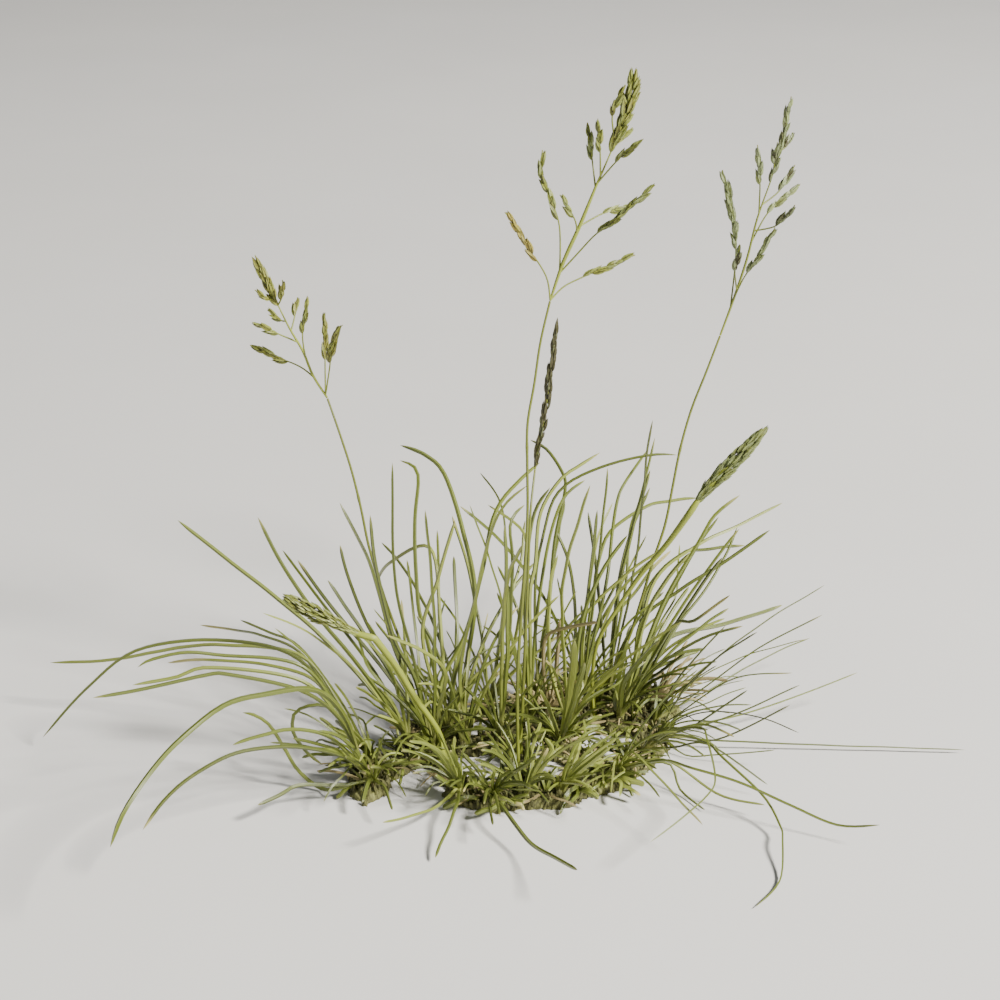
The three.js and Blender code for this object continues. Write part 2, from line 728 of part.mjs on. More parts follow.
function tuftSolid(tuft, leaves) {
  const lean = new THREE.Vector3();
  for (const leaf of leaves) {
    const out = leaf.line[1].clone().sub(leaf.line[0]).setZ(0);
    lean.add(out.clampLength(0, SHEATH_LEAN).divideScalar(leaves.length));
  }
  const sheaths = sheathSolid(tuft.foot, BUTT_RADIUS, BUTT_HEIGHT, lean, TUFT_SHEATH_SIDES);
  return joinAll([sheaths, ...leaves.map((leaf) => bladeSolid(leaf.line, leaf.width, leaf.turn))]);
}

// Flowering stems: the culm's foot, its radii at its foot and top, its points on the sheet, the depth
// of its top, and its head. A branch of a head is [share of the way up the rachis, depth of its tip,
// points on the sheet]. The spikelets of a closed head lean out by its spread.
const STEMS = [
  {
    name: "left", foot: [-47, 15], topDepth: 34, girth: THIN_CULM,
    culm: [[-60, 40], [-71, 72], [-75, 90], [-80, 110], [-86, 128], [-89, 136.6]],
    rachis: [[-94, 144], [-98, 154], [-103, 162], [-106, 169], [-110, 176], [-113, 181], [-118, 194]],
    branches: [
      [0.02, 46, [[-90, 154], [-90, 171]]],
      [0.02, 22, [[-88, 150], [-87, 160], [-83, 166]]],
      [0.15, 42, [[-101, 150], [-110, 153], [-120, 158]]],
      [0.28, 26, [[-99, 162], [-97, 177]]],
      [0.4, 24, [[-110, 163], [-119, 167]]],
      [0.48, 44, [[-102, 170], [-101, 177]]],
      [0.55, 40, [[-108, 168], [-113, 172]]],
      [0.66, 28, [[-107, 178], [-107, 184]]],
      [0.72, 28, [[-113, 176], [-118, 180]]],
    ],
    spikeletSize: 0.92,
  },
  {
    name: "centre", foot: [-13, -32], topDepth: -12, girth: THIN_CULM,
    culm: [[-13, 24], [-11, 56], [-9, 88], [-9, 126], [-6, 144], [-3, 164], [0, 175.5]],
    rachis: [[4, 188], [10, 201], [16, 216], [20, 225], [26, 239], [30, 248], [34.4, 268.5]],
    branches: [
      [0.0, -24, [[-2, 188], [-7, 193], [-13, 205], [-18, 211]]],
      [0.0, -2, [[5, 181], [15, 186], [34, 194]]],
      [0.12, -4, [[4, 202], [2, 214], [-3, 220], [-4, 227], [-3, 236]]],
      [0.12, -24, [[20, 204], [26, 208], [42, 222]]],
      [0.3, -20, [[10, 208], [4, 218]]],
      [0.33, 0, [[22, 211], [34, 214]]],
      [0.5, -2, [[17, 231], [15, 247]]],
      [0.52, -20, [[29, 234], [37, 240]]],
      [0.55, -18, [[20, 236], [19, 248]]],
      [0.66, -4, [[28, 240], [33, 245]]],
      [0.7, -16, [[25, 251], [30, 262]]],
      [0.76, -6, [[31, 250], [35, 259]]],
    ],
    spikeletSize: 1.08,
  },
  {
    name: "right", foot: [20, 26], topDepth: 50, girth: THIN_CULM,
    culm: [[32, 42], [40, 68], [45, 82], [48, 96], [52, 116], [55, 128], [66, 156], [68, 161.6]],
    rachis: [[73, 175], [78, 190], [81, 200], [84, 213], [88, 223], [91, 232], [95, 248], [96.5, 257.4]],
    branches: [
      [0.12, 62, [[74, 190], [74, 204], [69, 228]]],
      [0.12, 40, [[77, 184], [84, 194], [90, 205]]],
      [0.2, 40, [[74, 188], [76, 198]]],
      [0.4, 62, [[88, 212], [100, 222]]],
      [0.45, 44, [[91, 206], [98, 214]]],
      [0.52, 40, [[84, 224], [83, 238]]],
      [0.56, 60, [[92, 220], [98, 230]]],
      [0.7, 44, [[90, 234], [91, 239]]],
      [0.78, 56, [[95, 238], [97, 243]]],
    ],
    spikeletSize: 1,
  },
  {
    name: "dark_spike", foot: [-12, -18], topDepth: 6, girth: THIN_CULM,
    culm: [[-9, 60], [-8, 88], [-7, 98], [-6, 108]],
    rachis: [[-5, 116], [-3, 126], [-1, 138], [1, 154], [3, 168]],
    branches: [],
    spikeletSize: 1.05, spread: 0.17,
  },
  {
    name: "pale_closed", foot: [18, 15], topDepth: 2, girth: SWELLING_CULM,
    culm: [[18, 36], [32, 60], [41, 72], [50, 82], [56, 91]],
    rachis: [[60, 97], [66, 104], [74, 112], [79, 116.5], [81.5, 119.5]],
    branches: [],
    spikeletSize: 1.6, spread: 0.28,
  },
  {
    name: "bright_closed", foot: [-42, -25], topDepth: -34, girth: STOUT_CULM,
    culm: [[-46, 6], [-54, 17], [-62, 30], [-67, 38], [-70, 40.5]],
    rachis: [[-77, 42.5], [-86, 47], [-96, 51.5], [-103, 55.5]],
    branches: [],
    spikeletSize: 1.5, spread: 0.2,
  },
];

// Spikelets crowd the end of a branch, on alternate sides, each pointing along it and outwards
const SPIKELET_SEED = 97;
const SPIKELET_BROADEST = 0.42;
const SPIKELET_VARIES = [0.94, 1.12];
const SPIKELET_STEP = 4;
const CHAIN_WEAVE = 0.6;
const CHAIN_TURN = [-0.7, 0.7];
const CHAIN_END = 0.6;
const CHAIN_ROOT = 0.6;
const CHAIN_GROWTH = { foot: 1.08, loss: 0.26 };
const CHAIN_FACE = [-0.35, 0.35];
const CLOSED_STEP = 3.4;
const CLOSED_TURN = 2.4;
const CLOSED_LOSS = 0.25;
const CLOSED_SINK = 0.5;
const CLOSED_ENDS = 2;
const SHORT_BRANCH = 14;
const BARE = 0.37;
const SHORT_BARE = 0.16;
const TOP_BARE = 0.6;

// A spikelet is a three-sided spindle, broadest below its middle
function spikeletSolid(root, way, size, turn) {
  const length = SPIKELET_LENGTH * size;
  const half = (SPIKELET_WIDTH * size) / 2;
  const side = acrossAt(way, turn);
  const other = new THREE.Vector3().crossVectors(way, side);
  const middle = root.clone().addScaledVector(way, length * SPIKELET_BROADEST);
  const ring = [0, 1, 2].map((k) => {
    const angle = (2 * Math.PI * k) / 3;
    return middle.clone()
      .addScaledVector(side, half * Math.cos(angle))
      .addScaledVector(other, half * Math.sin(angle));
  });
  const tip = root.clone().addScaledVector(way, length);
  const positions = [root, ...ring, tip].flatMap((p) => [p.x, p.y, p.z]);
  return solidFrom(positions, [0, 2, 1, 0, 3, 2, 0, 1, 3, 4, 1, 2, 4, 2, 3, 4, 3, 1]);
}

// Each spikelet is rooted inside the one below it, and the chain weaves along the branch
function spikeletChain(line, from, size, random) {
  const chain = [];
  const count = Math.max(2, Math.round((lineLength(line) * (1 - from)) / SPIKELET_STEP));
  const places = evenSteps(line, LOOK_UP);
  let root = places[Math.floor(from * LOOK_UP)].clone();
  for (let i = 0; i < count; i += 1) {
    const share = from + ((1 - from) * (i + 1)) / (count + CHAIN_END);
    const index = Math.floor(share * LOOK_UP);
    const side = acrossAt(directionAt(places, index), i * Math.PI + between(random, CHAIN_TURN));
    const target = places[index].clone().addScaledVector(side, CHAIN_WEAVE);
    const way = target.clone().sub(root).normalize();
    const taper = CHAIN_GROWTH.foot - CHAIN_GROWTH.loss * share;
    const grown = size * taper * between(random, SPIKELET_VARIES);
    chain.push(spikeletSolid(root, way, grown, between(random, CHAIN_FACE)));
    const reach = Math.min(root.distanceTo(target), SPIKELET_LENGTH * grown * CHAIN_ROOT);
    root = root.clone().addScaledVector(way, reach);
  }
  return chain;
}

// The spikelets of a closed head press round its rachis
function closedSpikelets(line, size, spread, random) {
  const found = [];
  const count = Math.round(lineLength(line) / CLOSED_STEP);
  const places = evenSteps(line, LOOK_UP);
  for (let i = 0; i <= count; i += 1) {
    const index = CLOSED_ENDS + Math.floor((LOOK_UP - 2 * CLOSED_ENDS) * (i / count));
    const along = directionAt(places, index);
    const side = acrossAt(along, i * CLOSED_TURN + random());
    const grown = size * (1 - CLOSED_LOSS * (i / count)) * between(random, SPIKELET_VARIES);
    const way = along.clone().addScaledVector(side, spread).normalize();
    const root = places[index].clone().addScaledVector(along, -CLOSED_SINK);
    found.push(spikeletSolid(root, way, grown, random()));
  }
  return found;
}

// A line drawn from the front view between two depths
const CULM_STEP = 16;
const CULM_SIDES = 5;
const SPINE_STEPS = 6;
const SPINE_SIDES = 4;
const SPINE_PLACES = 100;
const BRANCH_STEPS = 5;
const BRANCH_SIDES = 3;
const BRANCH_TAPER = 0.95;

function depthLine(start, startDepth, endDepth, points) {
  const line = [start];
  points.forEach((point, i) => {
    const share = (i + 1) / points.length;
    line.push(seenAt(...point, startDepth + (endDepth - startDepth) * share));
  });
  return line;
}

function culmLine(stem) {
  const foot = new THREE.Vector3(stem.foot[0], stem.foot[1], CROWN_HEIGHT + JOINT_GAP);
  const drawn = depthLine(foot, stem.foot[1], stem.topDepth, stem.culm);
  const line = smoothLine(drawn, Math.round(lineLength(drawn) / CULM_STEP));
  const upright = foot.clone().setZ(foot.z + CULM_FOOT_RISE);
  return [foot, upright, ...line.slice(1)];
}

function culmSolid(stem, line) {
  const upright = new THREE.Vector3();
  const [footRadius, topRadius] = stem.girth;
  const radius = footRadius + CULM_SHEATH_WALL;
  const sheath = sheathSolid(stem.foot, radius, CULM_FOOT_RISE, upright, CULM_SHEATH_SIDES);
  return joinAll([stemSolid(line, footRadius, topRadius, CULM_SIDES), sheath]);
}

// A head starts a joint's gap above its culm and follows its rachis
function headSolid(stem, culm, random) {
  const closed = stem.branches.length === 0;
  const top = culm[culm.length - 1];
  const way = directionAt(culm, culm.length - 1);
  const start = top.clone().addScaledVector(way, JOINT_GAP);
  const spineDrawn = depthLine(start, stem.topDepth, stem.topDepth, stem.rachis);
  const spine = smoothLine(spineDrawn, SPINE_STEPS);
  const core = closed ? spine : spine.slice(0, SPINE_STEPS);
  const spinePlaces = evenSteps(spine, SPINE_PLACES);
  const solids = [stemSolid(core, RACHIS_RADIUS, BRANCH_RADIUS, SPINE_SIDES)];
  const size = stem.spikeletSize;
  if (closed) {
    solids.push(...closedSpikelets(spine, size, stem.spread, random));
  } else {
    solids.push(...spikeletChain(spine, TOP_BARE, size, random));
  }
  for (const [share, tipDepth, points] of stem.branches) {
    const from = spinePlaces[Math.round(share * SPINE_PLACES)];
    const branch = smoothLine(depthLine(from, from.y, tipDepth, points), BRANCH_STEPS);
    const long = lineLength(branch) > SHORT_BRANCH;
    const bareStem = branch.slice(0, long ? 3 : 2);
    solids.push(stemSolid(bareStem, BRANCH_RADIUS, BRANCH_RADIUS * BRANCH_TAPER, BRANCH_SIDES));
    solids.push(...spikeletChain(branch, long ? BARE : SHORT_BARE, size, random));
  }
  return joinAll(solids);
}

// Withered leaves and sheaths, still joined to the crown
const DEAD = [
  {
    name: "dead_leaves_middle", foot: [-1, 17], sheaf: [270, 90, 60, 24],
    leaves: [
      [-6, 2.6, [[-2, 40], [13, 46], [19, 47]]],
      [4, 3.2, [[2, 24], [4, 48]]],
      [-26, 2.1, [[-8, 16], [-14, 21]]],
    ],
  },
  {
    name: "dead_leaves_right", foot: [44, 24], sheaf: [0, 60, 70, 22],
    leaves: [
      [20, 2.2, [[38, 24], [46, 23]]],
      [-2, 2.2, [[40, 16], [48, 20]]],
    ],
  },
];

// A bar of the crown: six-sided seen from above, narrower at the top, with slanted ends
const BAR_SLOPE = 1.6;
const BAR_END = 0.7;
const BAR_SLANT = 0.2;

function crownBar(from, to, half) {
  const start = new THREE.Vector3(from[0], from[1], 0);
  const end = new THREE.Vector3(to[0], to[1], 0);
  const along = end.clone().sub(start).normalize();
  const side = new THREE.Vector3(-along.y, along.x, 0);
  const rings = [[0, half], [CROWN_HEIGHT, half - BAR_SLOPE]].map(([height, reach]) => [
    end.clone().addScaledVector(side, reach * BAR_END),
    start.clone().addScaledVector(side, reach),
    start.clone().addScaledVector(along, -reach).addScaledVector(side, reach * BAR_SLANT),
    start.clone().addScaledVector(side, -reach),
    end.clone().addScaledVector(side, -reach),
    end.clone().addScaledVector(along, reach).addScaledVector(side, -reach * BAR_SLANT),
  ].map((p) => p.setZ(height)));
  return ringSolid(rings, null);
}

// An old sheath stub that stands out from the side of a bar
const CROWN_SEED = 7;
const STUBS = 10;
const STUB_WIDTH = 2.4;
const STUB_HEIGHT = 0.45;
const STUB_ROOT = 0.4;
const STUB_REACH = [3, 6];
const STUB_SHOULDER = 0.6;
const STUB_TURN = [-0.4, 0.4];

function stub(random) {
  const [from, to, half] = CROWN_BARS[Math.floor(CROWN_BARS.length * random())];
  const heading = 2 * Math.PI * random();
  const out = new THREE.Vector3(Math.cos(heading), Math.sin(heading), 0);
  const share = random();
  const x = from[0] + (to[0] - from[0]) * share;
  const y = from[1] + (to[1] - from[1]) * share;
  const root = new THREE.Vector3(x, y, CROWN_HEIGHT * STUB_HEIGHT).addScaledVector(out, half * STUB_ROOT);
  const reach = half * (1 - STUB_ROOT) + between(random, STUB_REACH);
  const tip = root.clone().addScaledVector(out, reach);
  const shoulder = root.clone().lerp(tip, STUB_SHOULDER);
  return bladeSolid([root, shoulder, tip], STUB_WIDTH, between(random, STUB_TURN));
}

function crownSolid() {
  const random = seededRandom(CROWN_SEED);
  const solids = CROWN_BARS.map(([from, to, half]) => crownBar(from, to, half));
  for (let i = 0; i < STUBS; i += 1) {
    solids.push(stub(random));
  }
  return joinAll(solids);
}

// Colours of the plant's parts
function surface(color, roughness) {
  return () => new THREE.MeshStandardMaterial({ color, roughness, metalness: 0 });
}

const leafGreen = surface(0x7c8b3c, 0.45);
const strawTan = surface(0xb39a72, 0.8);
const culmGreen = surface(0x6d7a3a, 0.5);
const headGreen = surface(0x8d9145, 0.6);
const crownBrown = surface(0x6b5a40, 0.9);

const tussock = new THREE.Group();

function addPiece(name, solid, material) {
  const { vertProperties, triVerts } = solid.getMesh();
  const geometry = new THREE.BufferGeometry();
  geometry.setAttribute("position", new THREE.Float32BufferAttribute(vertProperties, 3));
  geometry.setIndex(Array.from(triVerts));
  geometry.computeVertexNormals();
  const piece = new THREE.Mesh(geometry, material);
  piece.name = name;
  tussock.add(piece);
}

// Butts first, then culms and heads, then the drawn and the rising leaves, each kept clear of the last
for (const tuft of [...TUFTS, ...DEAD]) {
  const top = new THREE.Vector3(tuft.foot[0], tuft.foot[1], CROWN_HEIGHT + BUTT_HEIGHT);
  const bottom = new THREE.Vector3(tuft.foot[0], tuft.foot[1], CROWN_HEIGHT);
  keep(testPoints([bottom, top], BUTT_RADIUS, tuft.name));
}

const CULM_ROOM = 1.2;

const spikeletRandom = seededRandom(SPIKELET_SEED);
for (const stem of STEMS) {
  const room = Math.max(...stem.girth) * CULM_ROOM;
  const drawn = placeClear(`culm_${stem.name}`, room, () => culmLine(stem), 1, true);
  addPiece(`culm_${stem.name}`, culmSolid(stem, drawn), culmGreen());
  addPiece(`head_${stem.name}`, headSolid(stem, drawn, spikeletRandom), headGreen());
}

const sheafRandom = seededRandom(SHEAF_SEED);
for (const tuft of TUFTS) {
  addPiece(tuft.name, tuftSolid(tuft, buildTuft(tuft, sheafRandom)), leafGreen());
}
for (const tuft of DEAD) {
  addPiece(tuft.name, tuftSolid(tuft, buildTuft(tuft, sheafRandom)), strawTan());
}

addPiece("crown", crownSolid(), crownBrown());

export default tussock;
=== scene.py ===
"""Alpine bluegrass: the fine leaves, culms, panicles and crown of an ornamental tussock grass.

The tussock is laid out by the rules, tables and seeds of its solids, so each fine piece lies where its
solid does. The tables are in millimetres, +Z up, with the front towards -Y. Meshes are in metres.
"""

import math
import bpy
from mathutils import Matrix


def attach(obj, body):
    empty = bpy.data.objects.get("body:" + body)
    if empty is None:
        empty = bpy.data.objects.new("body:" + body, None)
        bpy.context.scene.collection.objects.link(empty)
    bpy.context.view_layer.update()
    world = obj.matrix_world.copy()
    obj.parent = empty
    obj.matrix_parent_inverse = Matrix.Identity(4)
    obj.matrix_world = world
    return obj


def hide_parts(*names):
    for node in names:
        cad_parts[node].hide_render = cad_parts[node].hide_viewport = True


bl_info = {
    "name": "Alpine bluegrass",
    "version": (1, 0, 0),
    "blender": (4, 5, 0),
    "location": "3D View > Sidebar > Bluegrass",
    "description": "Grows the leaves, culms, panicles and crown of an alpine bluegrass tussock",
    "category": "Object",
}

from functools import lru_cache

import bmesh
import bpy
from bpy.props import FloatProperty, FloatVectorProperty, IntProperty, PointerProperty
from mathutils import Vector, noise

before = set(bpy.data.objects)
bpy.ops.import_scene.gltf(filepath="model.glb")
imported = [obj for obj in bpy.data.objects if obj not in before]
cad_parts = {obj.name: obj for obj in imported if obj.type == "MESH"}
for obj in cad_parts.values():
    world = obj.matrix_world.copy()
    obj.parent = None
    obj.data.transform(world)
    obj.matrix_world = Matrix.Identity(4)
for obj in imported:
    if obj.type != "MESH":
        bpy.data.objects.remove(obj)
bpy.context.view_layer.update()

MM = 0.001
BODY = "root"

# Sizes of the crown, the leaves and the flowering stems
CROWN_HEIGHT = 3.5
JOINT_GAP = 0.3
FLOOR_GAP = 1.3
BUTT_HEIGHT = 6.5
BUTT_RADIUS = 3.3
ROOT_RISE = 2.2
CULM_FOOT_RISE = 6
RACHIS_RADIUS = 0.42
THIN_CULM = (0.7, RACHIS_RADIUS)
SWELLING_CULM = (0.9, 1.7)
STOUT_CULM = (1.5, 1.75)
CULM_ROOM = 1.2
BRANCH_RADIUS = 0.34

# The sheet that leaves are set out on, seen from the front and a little above, and its viewpoint
VIEW_TILT = math.radians(22)
VIEW_DISTANCE = 944.4
VIEW_ACROSS = -20
VIEW_UP = 96
FORWARD = (0.0, math.cos(VIEW_TILT), -math.sin(VIEW_TILT))
UPWARD = (0.0, math.sin(VIEW_TILT), math.cos(VIEW_TILT))
EYE = (
    VIEW_ACROSS,
    UPWARD[1] * VIEW_UP - FORWARD[1] * VIEW_DISTANCE,
    UPWARD[2] * VIEW_UP - FORWARD[2] * VIEW_DISTANCE,
)

# How leaves are kept apart, and how finely a line is cut and followed
TEST_STEP = 1.6
TEST_CELL = 6
CLEAR = 0.75
NEAR_ROOT = 10
DEPTH_STEP = 4
DEPTH_TRIES = 22
CURVE_CUTS = 8
LOOK_UP = 60
NEARLY_ALONG = 0.0001

# A leafy sheaf round each foot, and how its leaves and those that are drawn lie
SHEAF_LEAVES = 5
SHEAF_SEED = 41
SHEAF_LEAN = (0.5, 1.15)
SHEAF_BEND = (8, 46)
SHEAF_REACH = (0.6, 1.5)
SHEAF_WIDTH = (1.5, 2.2)
KINK_CHANCE = 0.25
KINK_TURN = (-0.8, 0.8)
DRAWN_TURN = (-0.45, 0.45)
RISING_TURN = (-1.1, 1.1)
RISING_PARTS = 5
KINK_PART = 2
LEAN_AT_FOOT = 0.55
STEP_PER_HEADING = 40
LEAF_STEP = 22.5
LEAF_STEPS = (3, 7)
ROOT_SPREAD = 0.45

# The heads: how much of a branch is bare, and in how many steps a line is followed
SHORT_BRANCH = 14
BARE = 0.37
SHORT_BARE = 0.16
TOP_BARE = 0.6
CULM_STEP = 16
SPINE_STEPS = 6
SPINE_PLACES = 100
BRANCH_STEPS = 5

# The fine blades: their outline, how finely each is cut, and how they differ in twist, tone and age
SEEDS = {"leaves": 1207, "straw": 1208, "panicles": 1209, "litter": 1210, "shoots": 1211}
FINE_PLACES = 200
BLADE_STEP = 3.6
BLADE_STEPS = (9, 34)
BLADE_FOOT_WIDTH = 0.5
BLADE_FOOT_REACH = 0.2
BLADE_TAPER = 0.15
BLADE_TIP = 0.05
TIP_ROUNDING = 0.6
TIP_FROM = 0.94
TIP_SHARES = [0.965, 0.985, 1.0]
LEAST_HALF = 0.02
BLADE_TWIST = (-0.6, 0.6)
WAVER = (0.0, 0.2)
WAVER_LENGTH = (16, 42)
WAVER_FULL = 0.25
LEAF_SLIM = 0.8
# How many sides a blade, a short shoot's blade, a straw and a stem have
BLADE_SIDES = 8
SHOOT_SIDES = 4
LITTER_SIDES = 6
STEM_SIDES = 8
# The name, the ribs and the roughness of the material of a leaf in each slot, and of a culm
LEAF_LOOKS = {"leaf": ("Leaf blade", 7.0, 0.36), "straw": ("Withered leaf", 9.0, 0.75)}
CULM_LOOK = ("Culm", 5.0, 0.4)
# The tufts that are thinner than the others or painted darker as shade, and the tone and age of leaves
THIN_TUFTS = {
    "right_fan_back": 0.55, "right_fan_side": 0.6, "right_fan_low": 0.75, "right_fan_front": 0.75,
    "dead_leaves_middle": 0.7,
}
TUFT_TONE = (0.34, 0.55)
PAINTED_SHADE_TUFTS = ("right_fan_back", "right_fan_side", "right_fan_low")
PAINTED_SHADE_DROP = 0.3
LEAF_TONE = (-0.34, 0.34)
OLD_LEAVES = 0.07
OLD_AGE = (0.15, 0.5)
YOUNG_AGE = (0.0, 0.08)
ROTTEN_FADED = (0.35, 0.75)

# The sheath at a leaf's foot: its reach, how far from the foot's middle to the leaf's root it starts,
# its half width, and how it narrows to its lip
SHEATH_REACH = 9
SHEATH_REACH_VARIES = (0.7, 1.2)
SHEATH_MOST = 0.4
SHEATH_SPREAD = 0.8
SHEATH_HALF = 1.0
SHEATH_HALF_VARIES = (0.85, 1.1)
SHEATH_STEPS = 6
SHEATH_TAPER = 0.35
SHEATH_LIP = 0.6
SHEATH_PALER = 0.2
SHEATH_AGE = 0.1

# Young leaves round the feet, and short shoots all over the crown, stouter in its front row
YOUNG_SEED = 311
YOUNG_SPREAD = 1.6
YOUNG_LEAN = (0.5, 1.5)
YOUNG_STEEPEST = 75
YOUNG_BEND = (10, 80)
YOUNG_FROM = (14, 46)
YOUNG_REACH = (0.3, 0.8)
YOUNG_LEAST = 8
YOUNG_WIDTH = (1.1, 1.8)
SHOOT_SEED = 523
SHOOT_CLEAR = -0.25
SHOOT_TRIES = 7
SHOOT_OFF = (-0.95, 0.95)
SHOOT_INSET = 2
SHOOT_SUNK = 0.8
SHOOT_LEAVES = 4
FRONT_LEAVES = 9
SHOOT_TURN = 1.3
SHOOT_LEAN = (12, 74)
SHOOT_BEND = (15, 95)
SHOOT_REACH = (7, 21)
SHOOT_WIDTH = (1.2, 2.1)
FRONT_ROW = -38
FRONT_REACH = (7, 20)
FRONT_WIDTH = (1.6, 3.2)
SHOOT_MARGIN = 1.2
OVER_SHOOT = 0.9
SHOOT_FLOOR = 0.8

# The fine culms: their joints, the sheaths round their feet, and the sheath that holds a closed head
CULM_STEP_FINE = 2.2
CULM_LEAST_STEPS = 40
CULM_JOINTS = (0.16, 0.42, 0.7)
JOINT_REACH = 0.008
JOINT_SWELL = 0.135
CULM_SWELLING = 2.4
CULM_TONE = {"thin": 0.12, "stout": 0.78}
CULM_SHEATHS = 4
CULM_SHEATH_OFF = 0.8
CULM_SHEATH_SUNK = 0.4
CULM_SHEATH_REACH = 4
CULM_SHEATH_STEP = 3
CULM_SHEATH_SIZES = (0.85, 0.8, 0.7, 0.5, 0.15)
STEM_PALER = 0.3
STOUT_SLIM = 0.8
SHEATH_END = (1.0, 1.0, 0.98, 0.95, 0.9, 0.82, 0.66)
STALK_SHADES = (0.35, 0.65, 1.25)

# A head's ripeness, from 0, grey-green, to 1, golden. The dark spike lies below grey-green, where its
# colour runs to the dark tip colour: partly a dark tinge of its own, partly painted shade
RIPENESS_AND_SHADE = {
    "left": 0.55, "centre": 0.5, "right": 0.22, "dark_spike": 0.04, "pale_closed": 0.34,
    "bright_closed": 0.48,
}
# The scales of a spikelet: where each starts and how long it is, as shares of the spikelet
SPIKELET_SCALES = ((0.0, 0.46), (0.03, 0.52), (0.14, 0.54), (0.27, 0.52), (0.4, 0.5), (0.52, 0.48))
SPIKELET_HALF = 0.165
SPIKELET_LEAST = 0.03
SPIKELET_FULL = 0.85
# The sections of a scale, and how it stands off, clasps and narrows from its foot to its tip
SCALE_SECTIONS = (0.32, 0.7)
SCALE_STANDS = 0.12
SCALE_BACK = 0.1
SCALE_BROAD = 0.95
SCALE_NARROWS = 0.25
SCALE_TIP = (0.9, 0.015)
# The spikelets crowded along a branch: their length and spacing, how bunched they are, how far their
# tips and the tips of a bunch stand off, and how much all this varies
SPIKELET_REACH = 5.8
BRAID_STEP = 0.85
BRAID_HALF = 0.9
BRAID_BROADEST = 0.56
BRAID_ROOT = 0.3
BRAID_SLIM = 0.86
BUNCH = 0.85
BUNCH_LEAN = 1.05
BUNCH_EVERY = 0.85
SPIRAL_TURN = 2.4
REACH_VARIES = (0.78, 1.12)
TIP_STRAYS = 0.6
LEAST_OFF = 0.2
LEAFY_LEAST = 0.1
LEAST_SPIKELETS = 4
LAST_TIP = 0.8
SPINDLE_END = 1.04
SPINDLE_FULL = 0.75
# The branches, each by its head and its number, with 0 for the rachis, that are fuller or riper
FULL_BRANCHES = {
    ("centre", 0): 3.1, ("right", 1): 1.7, ("left", 0): 2.2, ("left", 2): 1.5, ("left", 3): 1.4,
}
GOLDEN_BRANCHES = {("centre", 1): 0.5}
BRANCH_SHADE = (-0.09, 0.09)
LEAFY_AFTER = 0.06
TWIG_STEPS = 16
TWIG_TAPER = 0.4
# How much thicker a rachis is at its middle, and the share of its length over which it is so
RACHIS_SWELL = {"centre": (1.1, 0.62), "pale_closed": (3.4, 1.0), "bright_closed": (3.2, 1.0)}
THIN_SWELL = (0.45, 0.62)
RACHIS_STEPS = 24
RACHIS_TAPER = 0.55
RACHIS_PALER = 0.25
# A closed head: half its width where it is broadest, how far up that is, its number of spikelets,
# their length, how far they reach beyond the rachis, and how much of it the sheath still holds
PACKED_HEADS = {
    "dark_spike": (1.5, 0.45, 80, 5.6, 1.0, 0.0),
    "pale_closed": (3.3, 0.5, 250, 5.2, 8.0, 0.16),
    "bright_closed": (3.4, 0.62, 290, 4.4, 4.5, 0.22),
}
CORE_EVERY = 3
CORE_SHARE = 0.35
PACKED_ROOT = 0.62
PACKED_SLIM = 0.78
PAST_SHEATH = 1.05
IN_SHEATH = 0.6

# The crown's roughness, and the stubs on it: the slope that they stand on, the height and radius of
# each of their rings, how flat they are, and how ragged at their tops
CROWN_VOXEL = 0.0011
CROWN_ROUGH = 0.0012
CROWN_GRAIN = 160
CROWN_FRACTAL = (0.6, 2.0, 3)
CROWN_WELD = 0.00001
STUB_SLOPE = -0.2
STUB_SIDES = 5
STUB_RINGS = ((-0.3, 0.34), (0.45, 0.3), (1.0, 0.22))
STUB_FLAT = 0.7
STUB_RAGGED = 0.3
STUB_RAGGED_TURN = 2.4

# The straws lying on the crown
LITTER_LEAN = (56, 88)
LITTER_BEND = 0.2
LITTER_REACH = (9, 24)
LITTER_KINK = (-0.7, 0.7)
LITTER_WIDTH = (1.0, 1.9)
LITTER_TURN = (-1.2, 1.2)
LITTER_PARTS = 4
LITTER_SUNK = 0.4
LITTER_LOWER = 0.9

# The looks of a blade: how strongly its streaks, ribs and midrib show, how far up it is pale, how its
# roughness varies and grows where it is dry, and its relief, as streaks, strength and depth in metres
STREAK_SHOWS = 0.9
RIDGE_SHOWS = 0.22
MIDRIB_SHOWS = 0.4
PALE_FOOT = 0.16
GLOSS_VARIES = 0.16
DRY_ROUGHER = 0.25
STREAK_RELIEF = 0.4
BLADE_RELIEF = (0.35, 0.00012)
# The looks of a husk: its grain, how mottled it is, how much painted shade darkens it at each scale's
# tucked-in foot and on each spikelet by itself, its ribs, where on the scale of tones its colours stand,
# the lowest being the dark tip colour that paints shade on the dark spike, its least roughness, and its
# relief
HUSK_GRAIN = 900.0
HUSK_MOTTLED = 0.35
HUSK_PAINTED_FOOT_SHADE = 0.35
HUSK_PAINTED_RANDOM_SHADE = 0.45
HUSK_RIBS = {"Ribs": 3.0, "Midrib": 0.3}
HUSK_STOPS = (0.1, 0.22, 0.5, 1.0)
HUSK_ROUGHNESS = 0.38
HUSK_RELIEF = (0.4, 0.0001)
# The looks of the crown: its fibres' noise, as scale, detail and roughness, its patches' scale, where
# its colours stand, its least roughness, and its relief
FIBRE_NOISE = (1300.0, 5.0, 0.62)
FIBRE_PATCHES = 120.0
FIBRE_STOPS = (0.2, 0.5, 0.8)
FIBRE_ROUGHNESS = 0.72
FIBRE_RELIEF = (0.7, 0.0006)

